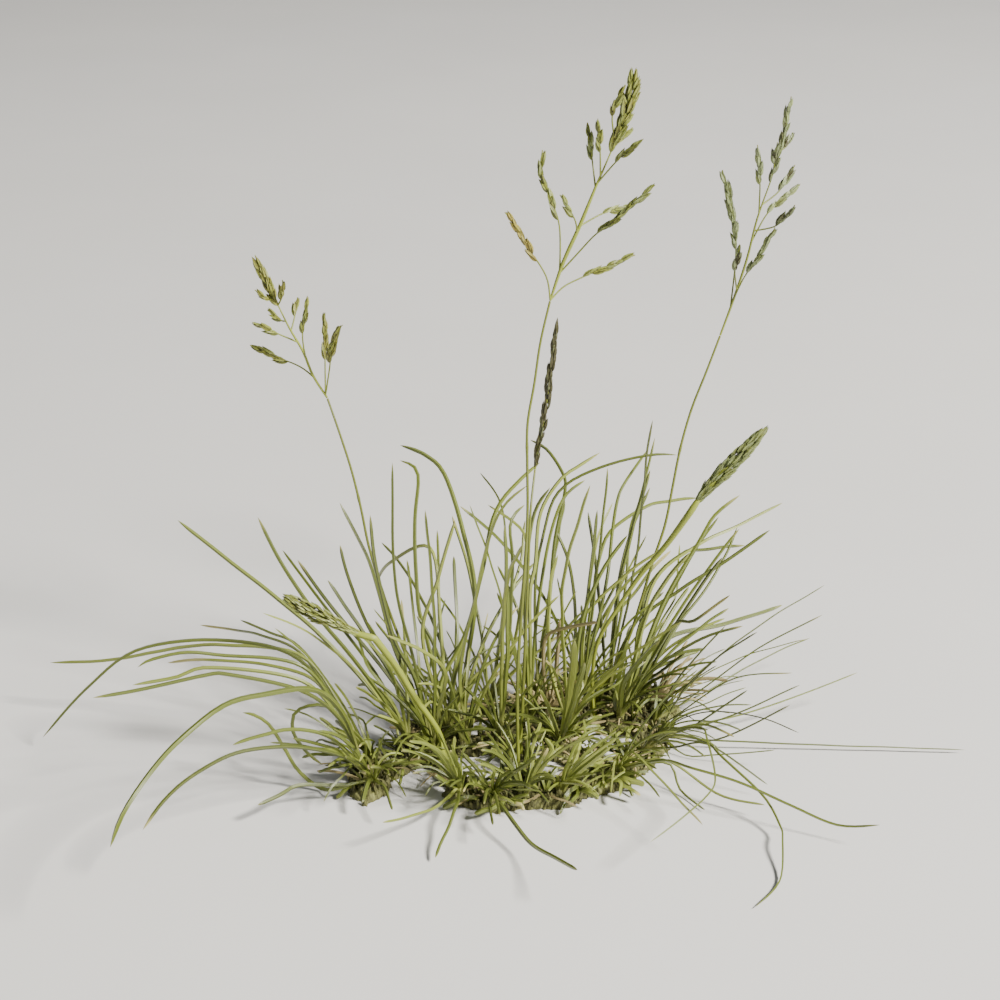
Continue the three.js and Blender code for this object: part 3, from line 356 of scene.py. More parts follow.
# The stage: its floor, its lights by place, size, setting of their power and colour, its sky and camera
FLOOR_REACH = 4.0
LIT_POINT = (0.0, 0.0, 0.1)
LIGHTS = (
    ("key_light", (2.4, -1.5, 2.5), 0.7, "key", (1.0, 0.97, 0.91)),
    ("fill_light", (-1.2, -0.9, 0.8), 1.4, "fill", (0.92, 0.96, 1.0)),
    ("back_light", (0.2, 1.3, 1.1), 1.0, "fill", (1.0, 1.0, 1.0)),
)
SKY_COLOR = (0.80, 0.84, 0.9, 1.0)
SKY_STRENGTH = 0.13
CAMERA_SENSOR = 36.0
CAMERA_REACH = 20.0

# The types of a tree's inputs that are numbers
NUMBER_SOCKETS = {int: "NodeSocketInt", float: "NodeSocketFloat"}

# The crown's bars, from, to and half a bar's width, and how high a leaf over them lies
OVER_CROWN = 1.9
CROWN_MARGIN = 5
CROWN_BARS = [
  [[-70, -23], [-69, -45], 9], [[-68, -34], [-54, -20], 5], [[-57, -22], [-52, 8], 7.5],
  [[-47, 17], [-35, 17], 6.5], [[-46, -16], [-40, 14], 7.5], [[-44, -10], [-20, -5], 7.5],
  [[-22, -4], [-6, 8], 7], [[-8, 6], [8, 5], 7], [[6, 4], [4, -12], 6.5], [[-24, 21], [-4, 30], 7],
  [[-5, 4], [-3, 30], 8], [[-4, 32], [14, 46], 7], [[12, 25], [39, 40], 9], [[12, 46], [22, 32], 7],
  [[28, 10], [35, 26], 7.5], [[8, 4], [20, 18], 6], [[33, 24], [48, 24], 7], [[30, 11], [44, 8], 7.5],
  [[42, 8], [41, -7], 7], [[41, -6], [35, -20], 7], [[36, -18], [24, -35], 7], [[26, -34], [2, -49], 7],
  [[5, -49], [-25, -53], 7], [[-20, -53], [-36, -49], 7], [[-12, -48], [-13, -14], 5.5],
  [[4, -12], [22, -31], 6], [[-45, -16], [-34, -44], 5], [[-13, -18], [-19, -5], 5.5],
]


def pairs(numbers):
    return [(numbers[i], numbers[i + 1]) for i in range(0, len(numbers), 2)]


def tuft_of(name, foot, sheaf, leaves):
    rows = [(row[0], row[1], pairs(row[2:])) for row in leaves]
    return {"name": name, "foot": foot, "sheaf": sheaf, "leaves": rows}


def stem_of(name, foot, top_depth, girth, culm, rachis, branches):
    rows = [(row[0], row[1], pairs(row[2:])) for row in branches]
    return {
        "name": name, "foot": foot, "top_depth": top_depth, "girth": girth,
        "culm": pairs(culm), "rachis": pairs(rachis), "branches": rows,
    }


# A tuft is its foot, then the way its sheaf leans, the sheaf's spread and lean in degrees and its
# leaves' reach. A leaf is its tip's depth, its width and its points on the sheet, across and up
TUFTS = [
    tuft_of("left_fan_back", [-70, -24], [180, 30, 66, 24], [
        [-8, 2.0, -84, 12, -103, 34, -134, 40, -165, 36, -185, 21, -203, 1],
        [22, 1.8, -84, 14, -100, 34, -130, 38, -148, 37, -176, 32, -200, 31],
        [-22, 1.8, -85, 12, -100, 30, -132, 34, -146, 35, -160, 32, -165, 29],
        [36, 1.8, -86, 14, -100, 27, -132, 32, -153, 31],
        [50, 1.4, -86, 15, -100, 35, -116, 42, -126, 44, -140, 46],
        [10, 1.4, -84, 16, -100, 37, -112, 43, -124, 48],
        [-36, 1.2, -80, 9, -92, 28, -102, 38, -110, 45],
    ]),
    tuft_of("left_fan_side", [-72, -34], [196, 34, 60, 34], [
        [-44, 1.9, -84, 8, -100, 24, -136, 29, -150, 25, -167, 22],
        [-60, 1.9, -83, 7, -100, 20, -128, 26, -138, 26, -164, 20, -183, 17],
        [-116, 2.6, -82, 9, -94, 20, -116, 18, -132, 13, -148, 0, -160, -13, -171, -30, -176, -43],
        [-46, 2.0, -82, 8, -92, 14, -101, 12, -103, 6, -102, 1, -98, -4, -91, -10],
        [-30, 1.9, -80, 2, -86, 8],
    ]),
    tuft_of("left_fan_front", [-68.4, -42.6], [214, 30, 52, 34], [
        [-56, 1.9, -82, -4, -92, 3, -106, 4, -115, 2, -127, -2],
        [-98, 1.9, -82, -7, -98, -3, -112, -3, -128, -6, -144, -15, -155, -25, -163, -36],
        [-40, 1.9, -84, -23, -92, -19, -101, -12, -106, -4, -112, 6, -118, 10, -123, 11],
        [-70, 2.2, -82, -18, -100, -18, -108, -22, -117, -26],
        [-64, 2.6, -73, -17, -75, -25],
        [-72, 1.4, -66, -19, -63, -28],
    ]),
    tuft_of("left_clump_outer", [-56, -8], [170, 40, 40, 46], [
        [34, 2.2, -74, 23, -93, 43, -112, 59, -130, 73, -149, 88],
        [-14, 2.1, -72, 24, -90, 46, -104, 65, -117, 89],
        [62, 1.9, -70, 27, -92, 56, -107, 76],
        [-44, 1.4, -75, 25, -95, 42, -115, 51],
        [-34, 2.1, -60, 6, -69, 10],
    ]),
    tuft_of("left_clump_upper", [-51, 6], [140, 50, 34, 56], [
        [44, 2.0, -68, 30, -88, 54, -101, 72],
        [84, 1.9, -62, 28, -73, 46, -81, 66, -84, 78],
        [-20, 2.1, -62, 24, -74, 42, -89, 64],
        [30, 2.1, -58, 26, -64, 42, -71, 68, -77, 81, -84, 95],
    ]),
    tuft_of("left_clump_front", [-46, -14], [230, 60, 42, 44], [
        [-10, 2.0, -54, 24, -62, 40, -69, 66, -72, 90],
        [14, 1.8, -54, 30, -62, 64, -63, 111],
        [-52, 1.8, -46, 40, -48, 72, -50, 92],
        [-70, 2.1, -44, 14, -42, 28, -52, 36, -65, 42],
    ]),
    tuft_of("left_clump_middle", [-41, 2], [110, 70, 26, 58], [
        [22, 2.2, -49, 40, -53, 56, -54, 88, -53, 107, -60, 112],
        [-24, 1.9, -51, 40, -45, 64, -38, 88],
        [56, 1.7, -44, 45, -45, 84],
        [70, 1.9, -44, 50, -48, 77, -64, 71, -69, 64],
    ]),
    tuft_of("left_clump_inner", [-34, -8], [80, 60, 30, 48], [
        [40, 2.1, -44, 20, -34, 42, -27, 68, -22, 91, -12, 104, -4, 111],
        [-20, 1.9, -36, 26, -30, 56, -24, 82, -18, 94, -9, 102],
    ]),
    tuft_of("left_clump_back", [-36, 16], [110, 60, 40, 62], [
        [52, 2.4, -30, 56, -35, 84, -42, 106, -50, 114, -60, 118],
    ]),
    tuft_of("middle_front", [-20, -6], [240, 80, 40, 44], [
        [-26, 2.1, -17, 36, -18, 86],
        [8, 2.0, -15, 64, -16, 86, -10, 94],
        [-60, 1.9, -19, 40, -17, 64, -11, 78],
    ]),
    tuft_of("middle_left", [-24, 22], [110, 60, 34, 60], [
        [86, 1.5, -18, 60, -19, 92, -28, 107],
        [30, 1.9, -14, 40, -10, 72, -11, 84, -25, 94],
        [60, 1.7, -18, 50, -12, 70, -10, 88],
    ]),
    tuft_of("middle_centre", [-9, 6], [70, 70, 24, 62], [
        [-14, 2.0, -10, 56, -7, 88, 0, 101],
        [20, 2.0, -8, 56, -6, 70, -4, 90, 4, 104, 12, 110, 20, 115],
        [52, 1.8, -4, 60, 4, 94, 14, 104],
    ]),
    tuft_of("middle_back", [-6, 30], [80, 60, 30, 66], [
        [84, 1.9, -1, 50, 2, 80, 6, 100, 5, 107, -1, 116, -8, 120],
        [40, 1.5, -6, 60, -2, 85, 4, 100, 20, 109, 40, 114, 51, 114],
        [100, 1.8, 0, 60, 3, 80, 6, 96],
    ]),
    tuft_of("middle_right", [7, 4], [330, 70, 36, 48], [
        [-12, 2.0, 5, 44, 6, 68, 16, 102],
        [30, 2.1, 0, 30, 0, 60, 3, 74],
        [18, 2.1, 12, 44, 20, 66, 31, 82],
    ]),
    tuft_of("middle_fold", [4, -10], [280, 60, 50, 26], [
        [-24, 3.6, 8, 20, 10, 40],
        [-32, 2.8, 9, 14, 14, 31],
        [-44, 2.2, 0, 12, -4, 20],
    ]),
    tuft_of("middle_far", [12, 24], [50, 60, 30, 66], [
        [10, 2.0, 13, 42, 15, 56, 19, 92],
        [56, 1.9, 14, 50, 19, 80, 25, 95],
        [30, 1.5, 18, 60, 22, 96, 23, 109],
        [74, 1.8, 22, 60, 25, 84, 27, 96, 30, 103, 39, 116],
    ]),
    tuft_of("right_clump_upright", [24, 36], [70, 60, 26, 62], [
        [26, 2.1, 27, 56, 29, 68, 34, 88, 40, 108],
        [66, 1.9, 27, 60, 32, 82, 40, 101],
        [90, 1.5, 30, 60, 32, 84, 36, 96, 42, 121],
        [50, 1.3, 34, 70, 39, 116, 41, 128],
    ]),
    tuft_of("right_clump_back", [13, 46], [60, 80, 34, 64], [
        [104, 1.9, 16, 50, 22, 80, 36, 92, 44, 95, 59, 97],
        [60, 1.8, 10, 50, 8, 70, 2, 84],
    ]),
    tuft_of("right_clump_front", [28, 12], [340, 50, 44, 50], [
        [-30, 1.9, 48, 44, 58, 48, 72, 58],
        [-8, 2.3, 38, 48, 46, 63, 56, 75],
        [24, 2.0, 44, 52, 60, 80, 66, 90, 76, 98],
        [-40, 2.8, 30, 24, 44, 40],
        [-20, 3.2, 26, 16, 31, 40],
    ]),
    tuft_of("right_clump_side", [34, 24], [10, 50, 50, 56], [
        [52, 2.0, 40, 60, 59, 78, 76, 86, 93, 95],
        [20, 2.0, 36, 46, 52, 60, 68, 70, 88, 84],
        [-6, 1.9, 49, 44, 60, 61, 69, 73],
        [76, 1.5, 50, 44, 66, 66, 75, 85],
    ]),
    tuft_of("right_clump_outer", [36, 38], [20, 60, 48, 60], [
        [92, 1.9, 38, 58, 52, 74, 60, 76, 78, 78],
        [64, 2.7, 40, 34, 50, 42, 72, 47, 93, 54],
        [26, 1.8, 42, 26, 48, 30, 54, 35],
    ]),
    tuft_of("right_fan_back", [42, 8], [12, 30, 60, 50], [
        [36, 1.7, 56, 24, 84, 46, 110, 62],
        [10, 1.5, 52, 14, 84, 37, 109, 50],
        [60, 1.5, 60, 18, 84, 32, 104, 41],
        [-22, 1.5, 48, 8, 72, 24, 97, 27],
    ]),
    tuft_of("right_fan_side", [42, -6], [350, 34, 66, 50], [
        [-34, 1.7, 56, 5, 79, 20],
        [24, 1.6, 54, 4, 76, 10, 100, 18, 123, 27],
        [-12, 1.5, 68, 8, 100, 22],
        [-40, 1.5, 66, 0, 96, 14],
        [-12, 1.7, 52, 1, 64, 0, 108, -2, 140, -3, 166, -4],
        [-26, 1.4, 54, -6, 66, -6, 90, -4],
    ]),
    tuft_of("right_fan_low", [36, -18], [320, 40, 66, 44], [
        [-110, 1.9, 46, 3, 60, 5, 63, 0, 66, -15, 63, -22, 54, -30, 40, -41],
        [-140, 1.8, 50, 2, 63, -1, 68, -6, 85, -22, 92, -34, 93, -40, 92, -56, 82, -67],
        [-60, 1.5, 50, -3, 64, -2, 87, -18],
    ]),
    tuft_of("right_fan_front", [25, -34], [310, 44, 60, 36], [
        [-84, 1.9, 34, -10, 46, -8, 56, -11, 76, -17, 96, -26, 115, -34, 132, -34],
        [-76, 1.7, 46, -8, 68, -22, 86, -26],
        [-82, 1.6, 47, -9, 52, -20, 62, -28],
        [-96, 1.6, 33, -5, 48, -20, 61, -34],
        [-66, 1.4, 36, -14, 44, -23],
    ]),
    tuft_of("front_row_left", [-35, -49], [190, 60, 52, 28], [
        [-60, 2.4, -40, -18, -46, -14],
        [-96, 1.6, -38, -28, -46, -47],
        [-92, 1.7, -48, -28, -67, -33],
        [-52, 2.2, -36, -12, -40, -4],
    ]),
    tuft_of("front_row_tip", [-23, -54], [250, 70, 54, 26], [
        [-46, 2.6, -19, -12, -20, -4],
        [-132, 2.0, -18, -28, -8, -41, 2, -47, 11, -52],
        [-88, 1.4, -24, -26, -23, -34],
    ]),
    tuft_of("front_row_middle", [-11, -52], [260, 80, 44, 30], [
        [-40, 2.5, -14, -14, -14, -5],
        [-62, 2.6, -6, -12, -1, -3],
        [-44, 2.4, 0, -6, 1, -3, -2, 1],
    ]),
    tuft_of("front_row_right", [3, -49], [300, 60, 48, 30], [
        [-58, 2.6, 12, -12, 24, -3],
        [-38, 2.5, 14, -12, 30, -6],
        [-30, 2.4, 10, -8, 12, 0],
    ]),
]

# A stem is its foot, the depth of its top, its girth, the points of its culm and of its head's rachis,
# and its head's branches. A branch is its place on the rachis, as a share, its tip's depth and points
STEMS = [
    stem_of("left", [-47, 15], 34, THIN_CULM,
        [-60, 40, -71, 72, -75, 90, -80, 110, -86, 128, -89, 136.6],
        [-94, 144, -98, 154, -103, 162, -106, 169, -110, 176, -113, 181, -118, 194], [
            [0.02, 46, -90, 154, -90, 171],
            [0.02, 22, -88, 150, -87, 160, -83, 166],
            [0.15, 42, -101, 150, -110, 153, -120, 158],
            [0.28, 26, -99, 162, -97, 177],
            [0.4, 24, -110, 163, -119, 167],
            [0.48, 44, -102, 170, -101, 177],
            [0.55, 40, -108, 168, -113, 172],
            [0.66, 28, -107, 178, -107, 184],
            [0.72, 28, -113, 176, -118, 180],
        ]),
    stem_of("centre", [-13, -32], -12, THIN_CULM,
        [-13, 24, -11, 56, -9, 88, -9, 126, -6, 144, -3, 164, 0, 175.5],
        [4, 188, 10, 201, 16, 216, 20, 225, 26, 239, 30, 248, 34.4, 268.5], [
            [0.0, -24, -2, 188, -7, 193, -13, 205, -18, 211],
            [0.0, -2, 5, 181, 15, 186, 34, 194],
            [0.12, -4, 4, 202, 2, 214, -3, 220, -4, 227, -3, 236],
            [0.12, -24, 20, 204, 26, 208, 42, 222],
            [0.3, -20, 10, 208, 4, 218],
            [0.33, 0, 22, 211, 34, 214],
            [0.5, -2, 17, 231, 15, 247],
            [0.52, -20, 29, 234, 37, 240],
            [0.55, -18, 20, 236, 19, 248],
            [0.66, -4, 28, 240, 33, 245],
            [0.7, -16, 25, 251, 30, 262],
            [0.76, -6, 31, 250, 35, 259],
        ]),
    stem_of("right", [20, 26], 50, THIN_CULM,
        [32, 42, 40, 68, 45, 82, 48, 96, 52, 116, 55, 128, 66, 156, 68, 161.6],
        [73, 175, 78, 190, 81, 200, 84, 213, 88, 223, 91, 232, 95, 248, 96.5, 257.4], [
            [0.12, 62, 74, 190, 74, 204, 69, 228],
            [0.12, 40, 77, 184, 84, 194, 90, 205],
            [0.2, 40, 74, 188, 76, 198],
            [0.4, 62, 88, 212, 100, 222],
            [0.45, 44, 91, 206, 98, 214],
            [0.52, 40, 84, 224, 83, 238],
            [0.56, 60, 92, 220, 98, 230],
            [0.7, 44, 90, 234, 91, 239],
            [0.78, 56, 95, 238, 97, 243],
        ]),
    stem_of("dark_spike", [-12, -18], 6, THIN_CULM,
        [-9, 60, -8, 88, -7, 98, -6, 108],
        [-5, 116, -3, 126, -1, 138, 1, 154, 3, 168], []),
    stem_of("pale_closed", [18, 15], 2, SWELLING_CULM,
        [18, 36, 32, 60, 41, 72, 50, 82, 56, 91],
        [60, 97, 66, 104, 74, 112, 79, 116.5, 81.5, 119.5], []),
    stem_of("bright_closed", [-42, -25], -34, STOUT_CULM,
        [-46, 6, -54, 17, -62, 30, -67, 38, -70, 40.5],
        [-77, 42.5, -86, 47, -96, 51.5, -103, 55.5], []),
]

DEAD = [
    tuft_of("dead_leaves_middle", [-1, 17], [270, 90, 60, 24], [
        [-6, 2.6, -2, 40, 13, 46, 19, 47],
        [4, 3.2, 2, 24, 4, 48],
        [-26, 2.1, -8, 16, -14, 21],
    ]),
    tuft_of("dead_leaves_right", [44, 24], [0, 60, 70, 22], [
        [20, 2.2, 38, 24, 46, 23],
        [-2, 2.2, 40, 16, 48, 20],
    ]),
]


# Plain vectors in double precision, because Blender's own hold half as many digits
def plus(a, b, scale=1.0):
    return (a[0] + b[0] * scale, a[1] + b[1] * scale, a[2] + b[2] * scale)


def minus(a, b):
    return (a[0] - b[0], a[1] - b[1], a[2] - b[2])


def dot(a, b):
    return a[0] * b[0] + a[1] * b[1] + a[2] * b[2]


def cross(a, b):
    return (a[1] * b[2] - a[2] * b[1], a[2] * b[0] - a[0] * b[2], a[0] * b[1] - a[1] * b[0])


def length(a):
    return math.sqrt(dot(a, a))


def unit(a):
    size = length(a) or 1.0
    return (a[0] / size, a[1] / size, a[2] / size)


def toward(a, b, share):
    return (a[0] + (b[0] - a[0]) * share, a[1] + (b[1] - a[1]) * share, a[2] + (b[2] - a[2]) * share)


def turned(a, axis, angle):
    """The vector turned about a unit axis"""
    shrunk = plus((0.0, 0.0, 0.0), a, math.cos(angle))
    swung = plus(shrunk, cross(axis, a), math.sin(angle))
    return plus(swung, axis, dot(axis, a) * (1 - math.cos(angle)))


def whole(value):
    return math.floor(value + 0.5)


def seeded_random(seed):
    """Random numbers from 0 to 1, the same in every run and the same as the solids use"""
    mask = 0xFFFFFFFF
    state = seed & mask

    def draw():
        nonlocal state
        state = (state + 0x6D2B79F5) & mask
        mixed = ((state ^ (state >> 15)) * (state | 1)) & mask
        mixed = ((mixed + (mixed ^ (mixed >> 7)) * (mixed | 61)) & mask) ^ mixed
        return (mixed ^ (mixed >> 14)) / 4294967296

    return draw


def between(random, span):
    return span[0] + (span[1] - span[0]) * random()


def ground_at(x, y, margin=CROWN_MARGIN, over=OVER_CROWN, floor=FLOOR_GAP):
    """The lowest a leaf may lie: on the floor, or on the crown where it is over that"""
    for start, end, half in CROWN_BARS:
        dx = end[0] - start[0]
        dy = end[1] - start[1]
        along = ((x - start[0]) * dx + (y - start[1]) * dy) / (dx * dx + dy * dy)
        share = min(1, max(0, along))
        if math.hypot(x - start[0] - share * dx, y - start[1] - share * dy) < half + margin:
            return CROWN_HEIGHT + over
    return floor


def seen_at(point, depth):
    """The point of the plant that is seen at [across, up] on the sheet and lies at a depth y"""
    across, up = point
    ray = (across - EYE[0], UPWARD[1] * up - EYE[1], UPWARD[2] * up - EYE[2])
    seen = plus(EYE, ray, (depth - EYE[1]) / ray[1])
    if seen[2] < FLOOR_GAP:
        seen = plus(EYE, ray, (FLOOR_GAP - EYE[2]) / ray[2])
    return (seen[0], seen[1], max(seen[2], ground_at(seen[0], seen[1])))


def line_length(points):
    return sum(length(minus(b, a)) for a, b in zip(points, points[1:]))


def even_steps(points, steps):
    """The same line, cut into steps of one length"""
    reach = [0.0]
    for a, b in zip(points, points[1:]):
        reach.append(reach[-1] + length(minus(b, a)))
    even = []
    at = 1
    for k in range(steps + 1):
        want = reach[-1] * k / steps
        while at < len(points) - 1 and reach[at] < want:
            at += 1
        share = (want - reach[at - 1]) / (reach[at] - reach[at - 1])
        even.append(toward(points[at - 1], points[at], share))
    return even


def smooth_line(points, steps):
    """A smooth line through the points, cut into equal steps"""
    fine = []
    last = len(points) - 1
    for i in range(last):
        before = points[max(i - 1, 0)]
        after = points[min(i + 2, last)]
        for k in range(CURVE_CUTS):
            fine.append(curve_point(before, points[i], points[i + 1], after, k / CURVE_CUTS))
    fine.append(points[last])
    return even_steps(fine, steps)


def curve_point(before, a, b, after, t):
    found = []
    for axis in range(3):
        slope_a = (b[axis] - before[axis]) / 2
        slope_b = (after[axis] - a[axis]) / 2
        step = b[axis] - a[axis]
        bend = 3 * step - 2 * slope_a - slope_b
        twist = slope_a + slope_b - 2 * step
        found.append(a[axis] + slope_a * t + bend * t * t + twist * t * t * t)
    return tuple(found)


def direction_at(line, i):
    return unit(minus(line[min(i + 1, len(line) - 1)], line[max(i - 1, 0)]))


def across_at(along, turn):
    """Across a blade: square to its line, turned about it from the way that faces the front"""
    flat = cross(along, FORWARD)
    if dot(flat, flat) < NEARLY_ALONG:
        flat = (1.0, 0.0, 0.0)
    return turned(unit(flat), along, turn)


class Clearance:
    """Test points along every line that is placed, so that the next one keeps clear of them"""

    def __init__(self):
        self.cells = {}

    def cell(self, point):
        return tuple(math.floor(value / TEST_CELL) for value in point)

    def test_points(self, line, radius, owner):
        total = line_length(line)
        steps = max(2, math.ceil(total / TEST_STEP))
        return [(p, radius, owner, i * total / steps) for i, p in enumerate(even_steps(line, steps))]

    def keep(self, points):
        for point in points:
            cx, cy, cz = self.cell(point[0])
            for x in (cx - 1, cx, cx + 1):
                for y in (cy - 1, cy, cy + 1):
                    for z in (cz - 1, cz, cz + 1):
                        self.cells.setdefault((x, y, z), []).append(point)

    def room(self, points):
        least = TEST_CELL
        for place, radius, owner, reach in points:
            for other, other_radius, other_owner, other_reach in self.cells.get(self.cell(place), ()):
                if other_owner == owner and min(other_reach, reach) < NEAR_ROOT:
                    continue
                least = min(least, math.dist(place, other) - radius - other_radius)
        return least

    def place(self, owner, radius, guide_for, tries, must_stay, clear=CLEAR):
        """The first guide that is clear, bent nearer or further back in steps of one size"""
        best = None
        for attempt in range(tries):
            size = math.ceil(attempt / 2) * DEPTH_STEP
            guide = guide_for(size if attempt % 2 else -size)
            points = self.test_points(smooth_line(guide, leaf_steps(guide)), radius, owner)
            room = self.room(points)
            if best is None or room > best[0]:
                best = (room, guide, points)
            if room >= clear:
                break
        if best[0] < clear and not must_stay:
            return None
        self.keep(best[2])
        return best[1]


def leaf_steps(line):
    return max(LEAF_STEPS[0], min(LEAF_STEPS[1], whole(line_length(line) / LEAF_STEP)))


def root_point(foot, heading):
    off = BUTT_RADIUS * ROOT_SPREAD
    height = CROWN_HEIGHT + JOINT_GAP + ROOT_RISE
    return (foot[0] + off * math.cos(heading), foot[1] + off * math.sin(heading), height)


def arched_line(start, heading, steps, reach, tilt_at, low_at, kink, kink_part):
    """Steps out from a start, each tilted by tilt_at(share) and none lower than low_at(x, y)"""
    line = [start]
    step = reach / steps
    for i in range(steps):
        tilt = tilt_at((i + 0.5) / steps)
        last = line[-1]
        x = last[0] + step * math.sin(tilt) * math.cos(heading)
        y = last[1] + step * math.sin(tilt) * math.sin(heading)
        line.append((x, y, max(low_at(x, y), last[2] + step * math.cos(tilt))))
        heading += kink if i == kink_part else 0
    return line


def drawn_leaf(foot, tip_depth, points, shift):
    """A leaf drawn from the front view: its depth runs evenly from its foot to its tip"""
    depth = tip_depth + shift
    tip = seen_at(points[-1], depth)
    line = [root_point(foot, math.atan2(tip[1] - foot[1], tip[0] - foot[0]))]
    for i, point in enumerate(points):
        line.append(seen_at(point, foot[1] + (depth - foot[1]) * ((i + 1) / len(points))))
    return line


def rising_leaf(foot, heading, lean, bend, reach, kink):
    """A leaf that rises from its foot, leans out and bends over, with a kink in some"""
    return arched_line(
        root_point(foot, heading), heading, RISING_PARTS, reach,
        lambda share: lean * min(1, LEAN_AT_FOOT + share) + bend * share * share,
        ground_at, kink, KINK_PART,
    )


def free_leaf(clearance, owner, width, turn, guide_for, tries=DEPTH_TRIES, clear=CLEAR):
    """A leaf where there is room for it, or else none"""
    guide = clearance.place(owner, width / 2, guide_for, tries, False, clear)
    return {"guide": guide, "width": width, "turn": turn} if guide else None


def risen_leaf(clearance, tuft, way, tilt, bend, reach, kink, width, turn):
    """A rising leaf of a tuft, turned aside until there is room for it"""
    return free_leaf(
        clearance, tuft["name"], width, turn,
        lambda shift: rising_leaf(tuft["foot"], way + shift / STEP_PER_HEADING, tilt, bend, reach, kink),
    )


def sheaf_leaf(clearance, tuft, random):
    """Draws one leaf of a tuft's sheaf, and places it where it is clear"""
    heading, spread, lean, reach = tuft["sheaf"]
    way = math.radians(heading + spread * between(random, (-1, 1)))
    tilt = math.radians(lean * between(random, SHEAF_LEAN))
    bend = math.radians(between(random, SHEAF_BEND))
    reach = reach * between(random, SHEAF_REACH)
    kink = between(random, KINK_TURN) if random() < KINK_CHANCE else 0
    width = between(random, SHEAF_WIDTH)
    turn = between(random, RISING_TURN)
    return risen_leaf(clearance, tuft, way, tilt, bend, reach, kink, width, turn)


def depth_line(start, start_depth, end_depth, points):
    line = [start]
    for i, point in enumerate(points):
        line.append(seen_at(point, start_depth + (end_depth - start_depth) * ((i + 1) / len(points))))
    return line


def culm_line(stem):
    foot = (stem["foot"][0], stem["foot"][1], CROWN_HEIGHT + JOINT_GAP)
    drawn = depth_line(foot, foot[1], stem["top_depth"], stem["culm"])
    line = smooth_line(drawn, whole(line_length(drawn) / CULM_STEP))
    return [foot, (foot[0], foot[1], foot[2] + CULM_FOOT_RISE)] + line[1:]


def head_plan(stem, culm):
    """The rachis and branches of one head, and from where on each of them bears spikelets"""
    start = plus(culm[-1], direction_at(culm, len(culm) - 1), JOINT_GAP)
    depth = stem["top_depth"]
    spine = smooth_line(depth_line(start, depth, depth, stem["rachis"]), SPINE_STEPS)
    places = even_steps(spine, SPINE_PLACES)
    head = {"spine": spine, "branches": [], "leafy": [(spine, TOP_BARE)]}
    for share, tip_depth, points in stem["branches"]:
        root = places[whole(share * SPINE_PLACES)]
        branch = smooth_line(depth_line(root, root[1], tip_depth, points), BRANCH_STEPS)
        bare = BARE if line_length(branch) > SHORT_BRANCH else SHORT_BARE
        head["branches"].append(branch)
        head["leafy"].append((branch, bare))
    return head


def young_leaf(clearance, tuft, random):
    """A thin, short leaf of the fine model alone, placed where it is clear of the others"""
    heading, spread, lean, reach = tuft["sheaf"]
    way = math.radians(heading + YOUNG_SPREAD * spread * between(random, (-1, 1)))
    tilt = math.radians(min(YOUNG_STEEPEST, lean * between(random, YOUNG_LEAN)))
    bend = math.radians(between(random, YOUNG_BEND))
    least, most = YOUNG_FROM
    reach = max(least, min(most, reach)) * between(random, YOUNG_REACH) + YOUNG_LEAST
    width = between(random, YOUNG_WIDTH)
    turn = between(random, RISING_TURN)
    kink = between(random, KINK_TURN)
    return risen_leaf(clearance, tuft, way, tilt, bend, reach, kink, width, turn)


def shoot_leaf(clearance, owner, root, outward, random):
    """One short leaf of a shoot on the crown, which leans out from its root, or none without room"""
    front = root[1] < FRONT_ROW
    heading = outward + between(random, (-SHOOT_TURN, SHOOT_TURN))
    lean = math.radians(between(random, SHOOT_LEAN))
    bend = math.radians(between(random, SHOOT_BEND))
    reach = between(random, FRONT_REACH if front else SHOOT_REACH)
    width = between(random, FRONT_WIDTH if front else SHOOT_WIDTH)
    turn = between(random, RISING_TURN)
    kink = between(random, KINK_TURN)
    return free_leaf(
        clearance, owner, width, turn,
        lambda shift: arched_line(
            root, heading + shift / STEP_PER_HEADING, RISING_PARTS, reach,
            lambda share: lean + bend * share,
            lambda x, y: ground_at(x, y, SHOOT_MARGIN, OVER_SHOOT, SHOOT_FLOOR), kink, KINK_PART,
        ),
        SHOOT_TRIES, SHOOT_CLEAR,
    )


def shoots_on_bar(clearance, index, spacing, random):
    """Short shoots along one bar of the crown, leaning off it to both sides"""
    start, end, half = CROWN_BARS[index]
    heading = math.atan2(end[1] - start[1], end[0] - start[0])
    count = max(2, whole(math.dist(start, end) / spacing))
    leaves = []
    for k in range(count):
        x, y, _ = toward((*start, 0), (*end, 0), (k + random()) / count)
        off = between(random, SHOOT_OFF)
        outward = heading + math.copysign(math.pi / 2, off)
        rise = (half - SHOOT_INSET) * abs(off)
        root = (x + rise * math.cos(outward), y + rise * math.sin(outward), CROWN_HEIGHT - SHOOT_SUNK)
        owner = f"shoot_{index}_{k}"
        grown = FRONT_LEAVES if root[1] < FRONT_ROW else SHOOT_LEAVES
        leaves += [shoot_leaf(clearance, owner, root, outward, random) for _ in range(grown)]
    return [leaf for leaf in leaves if leaf]


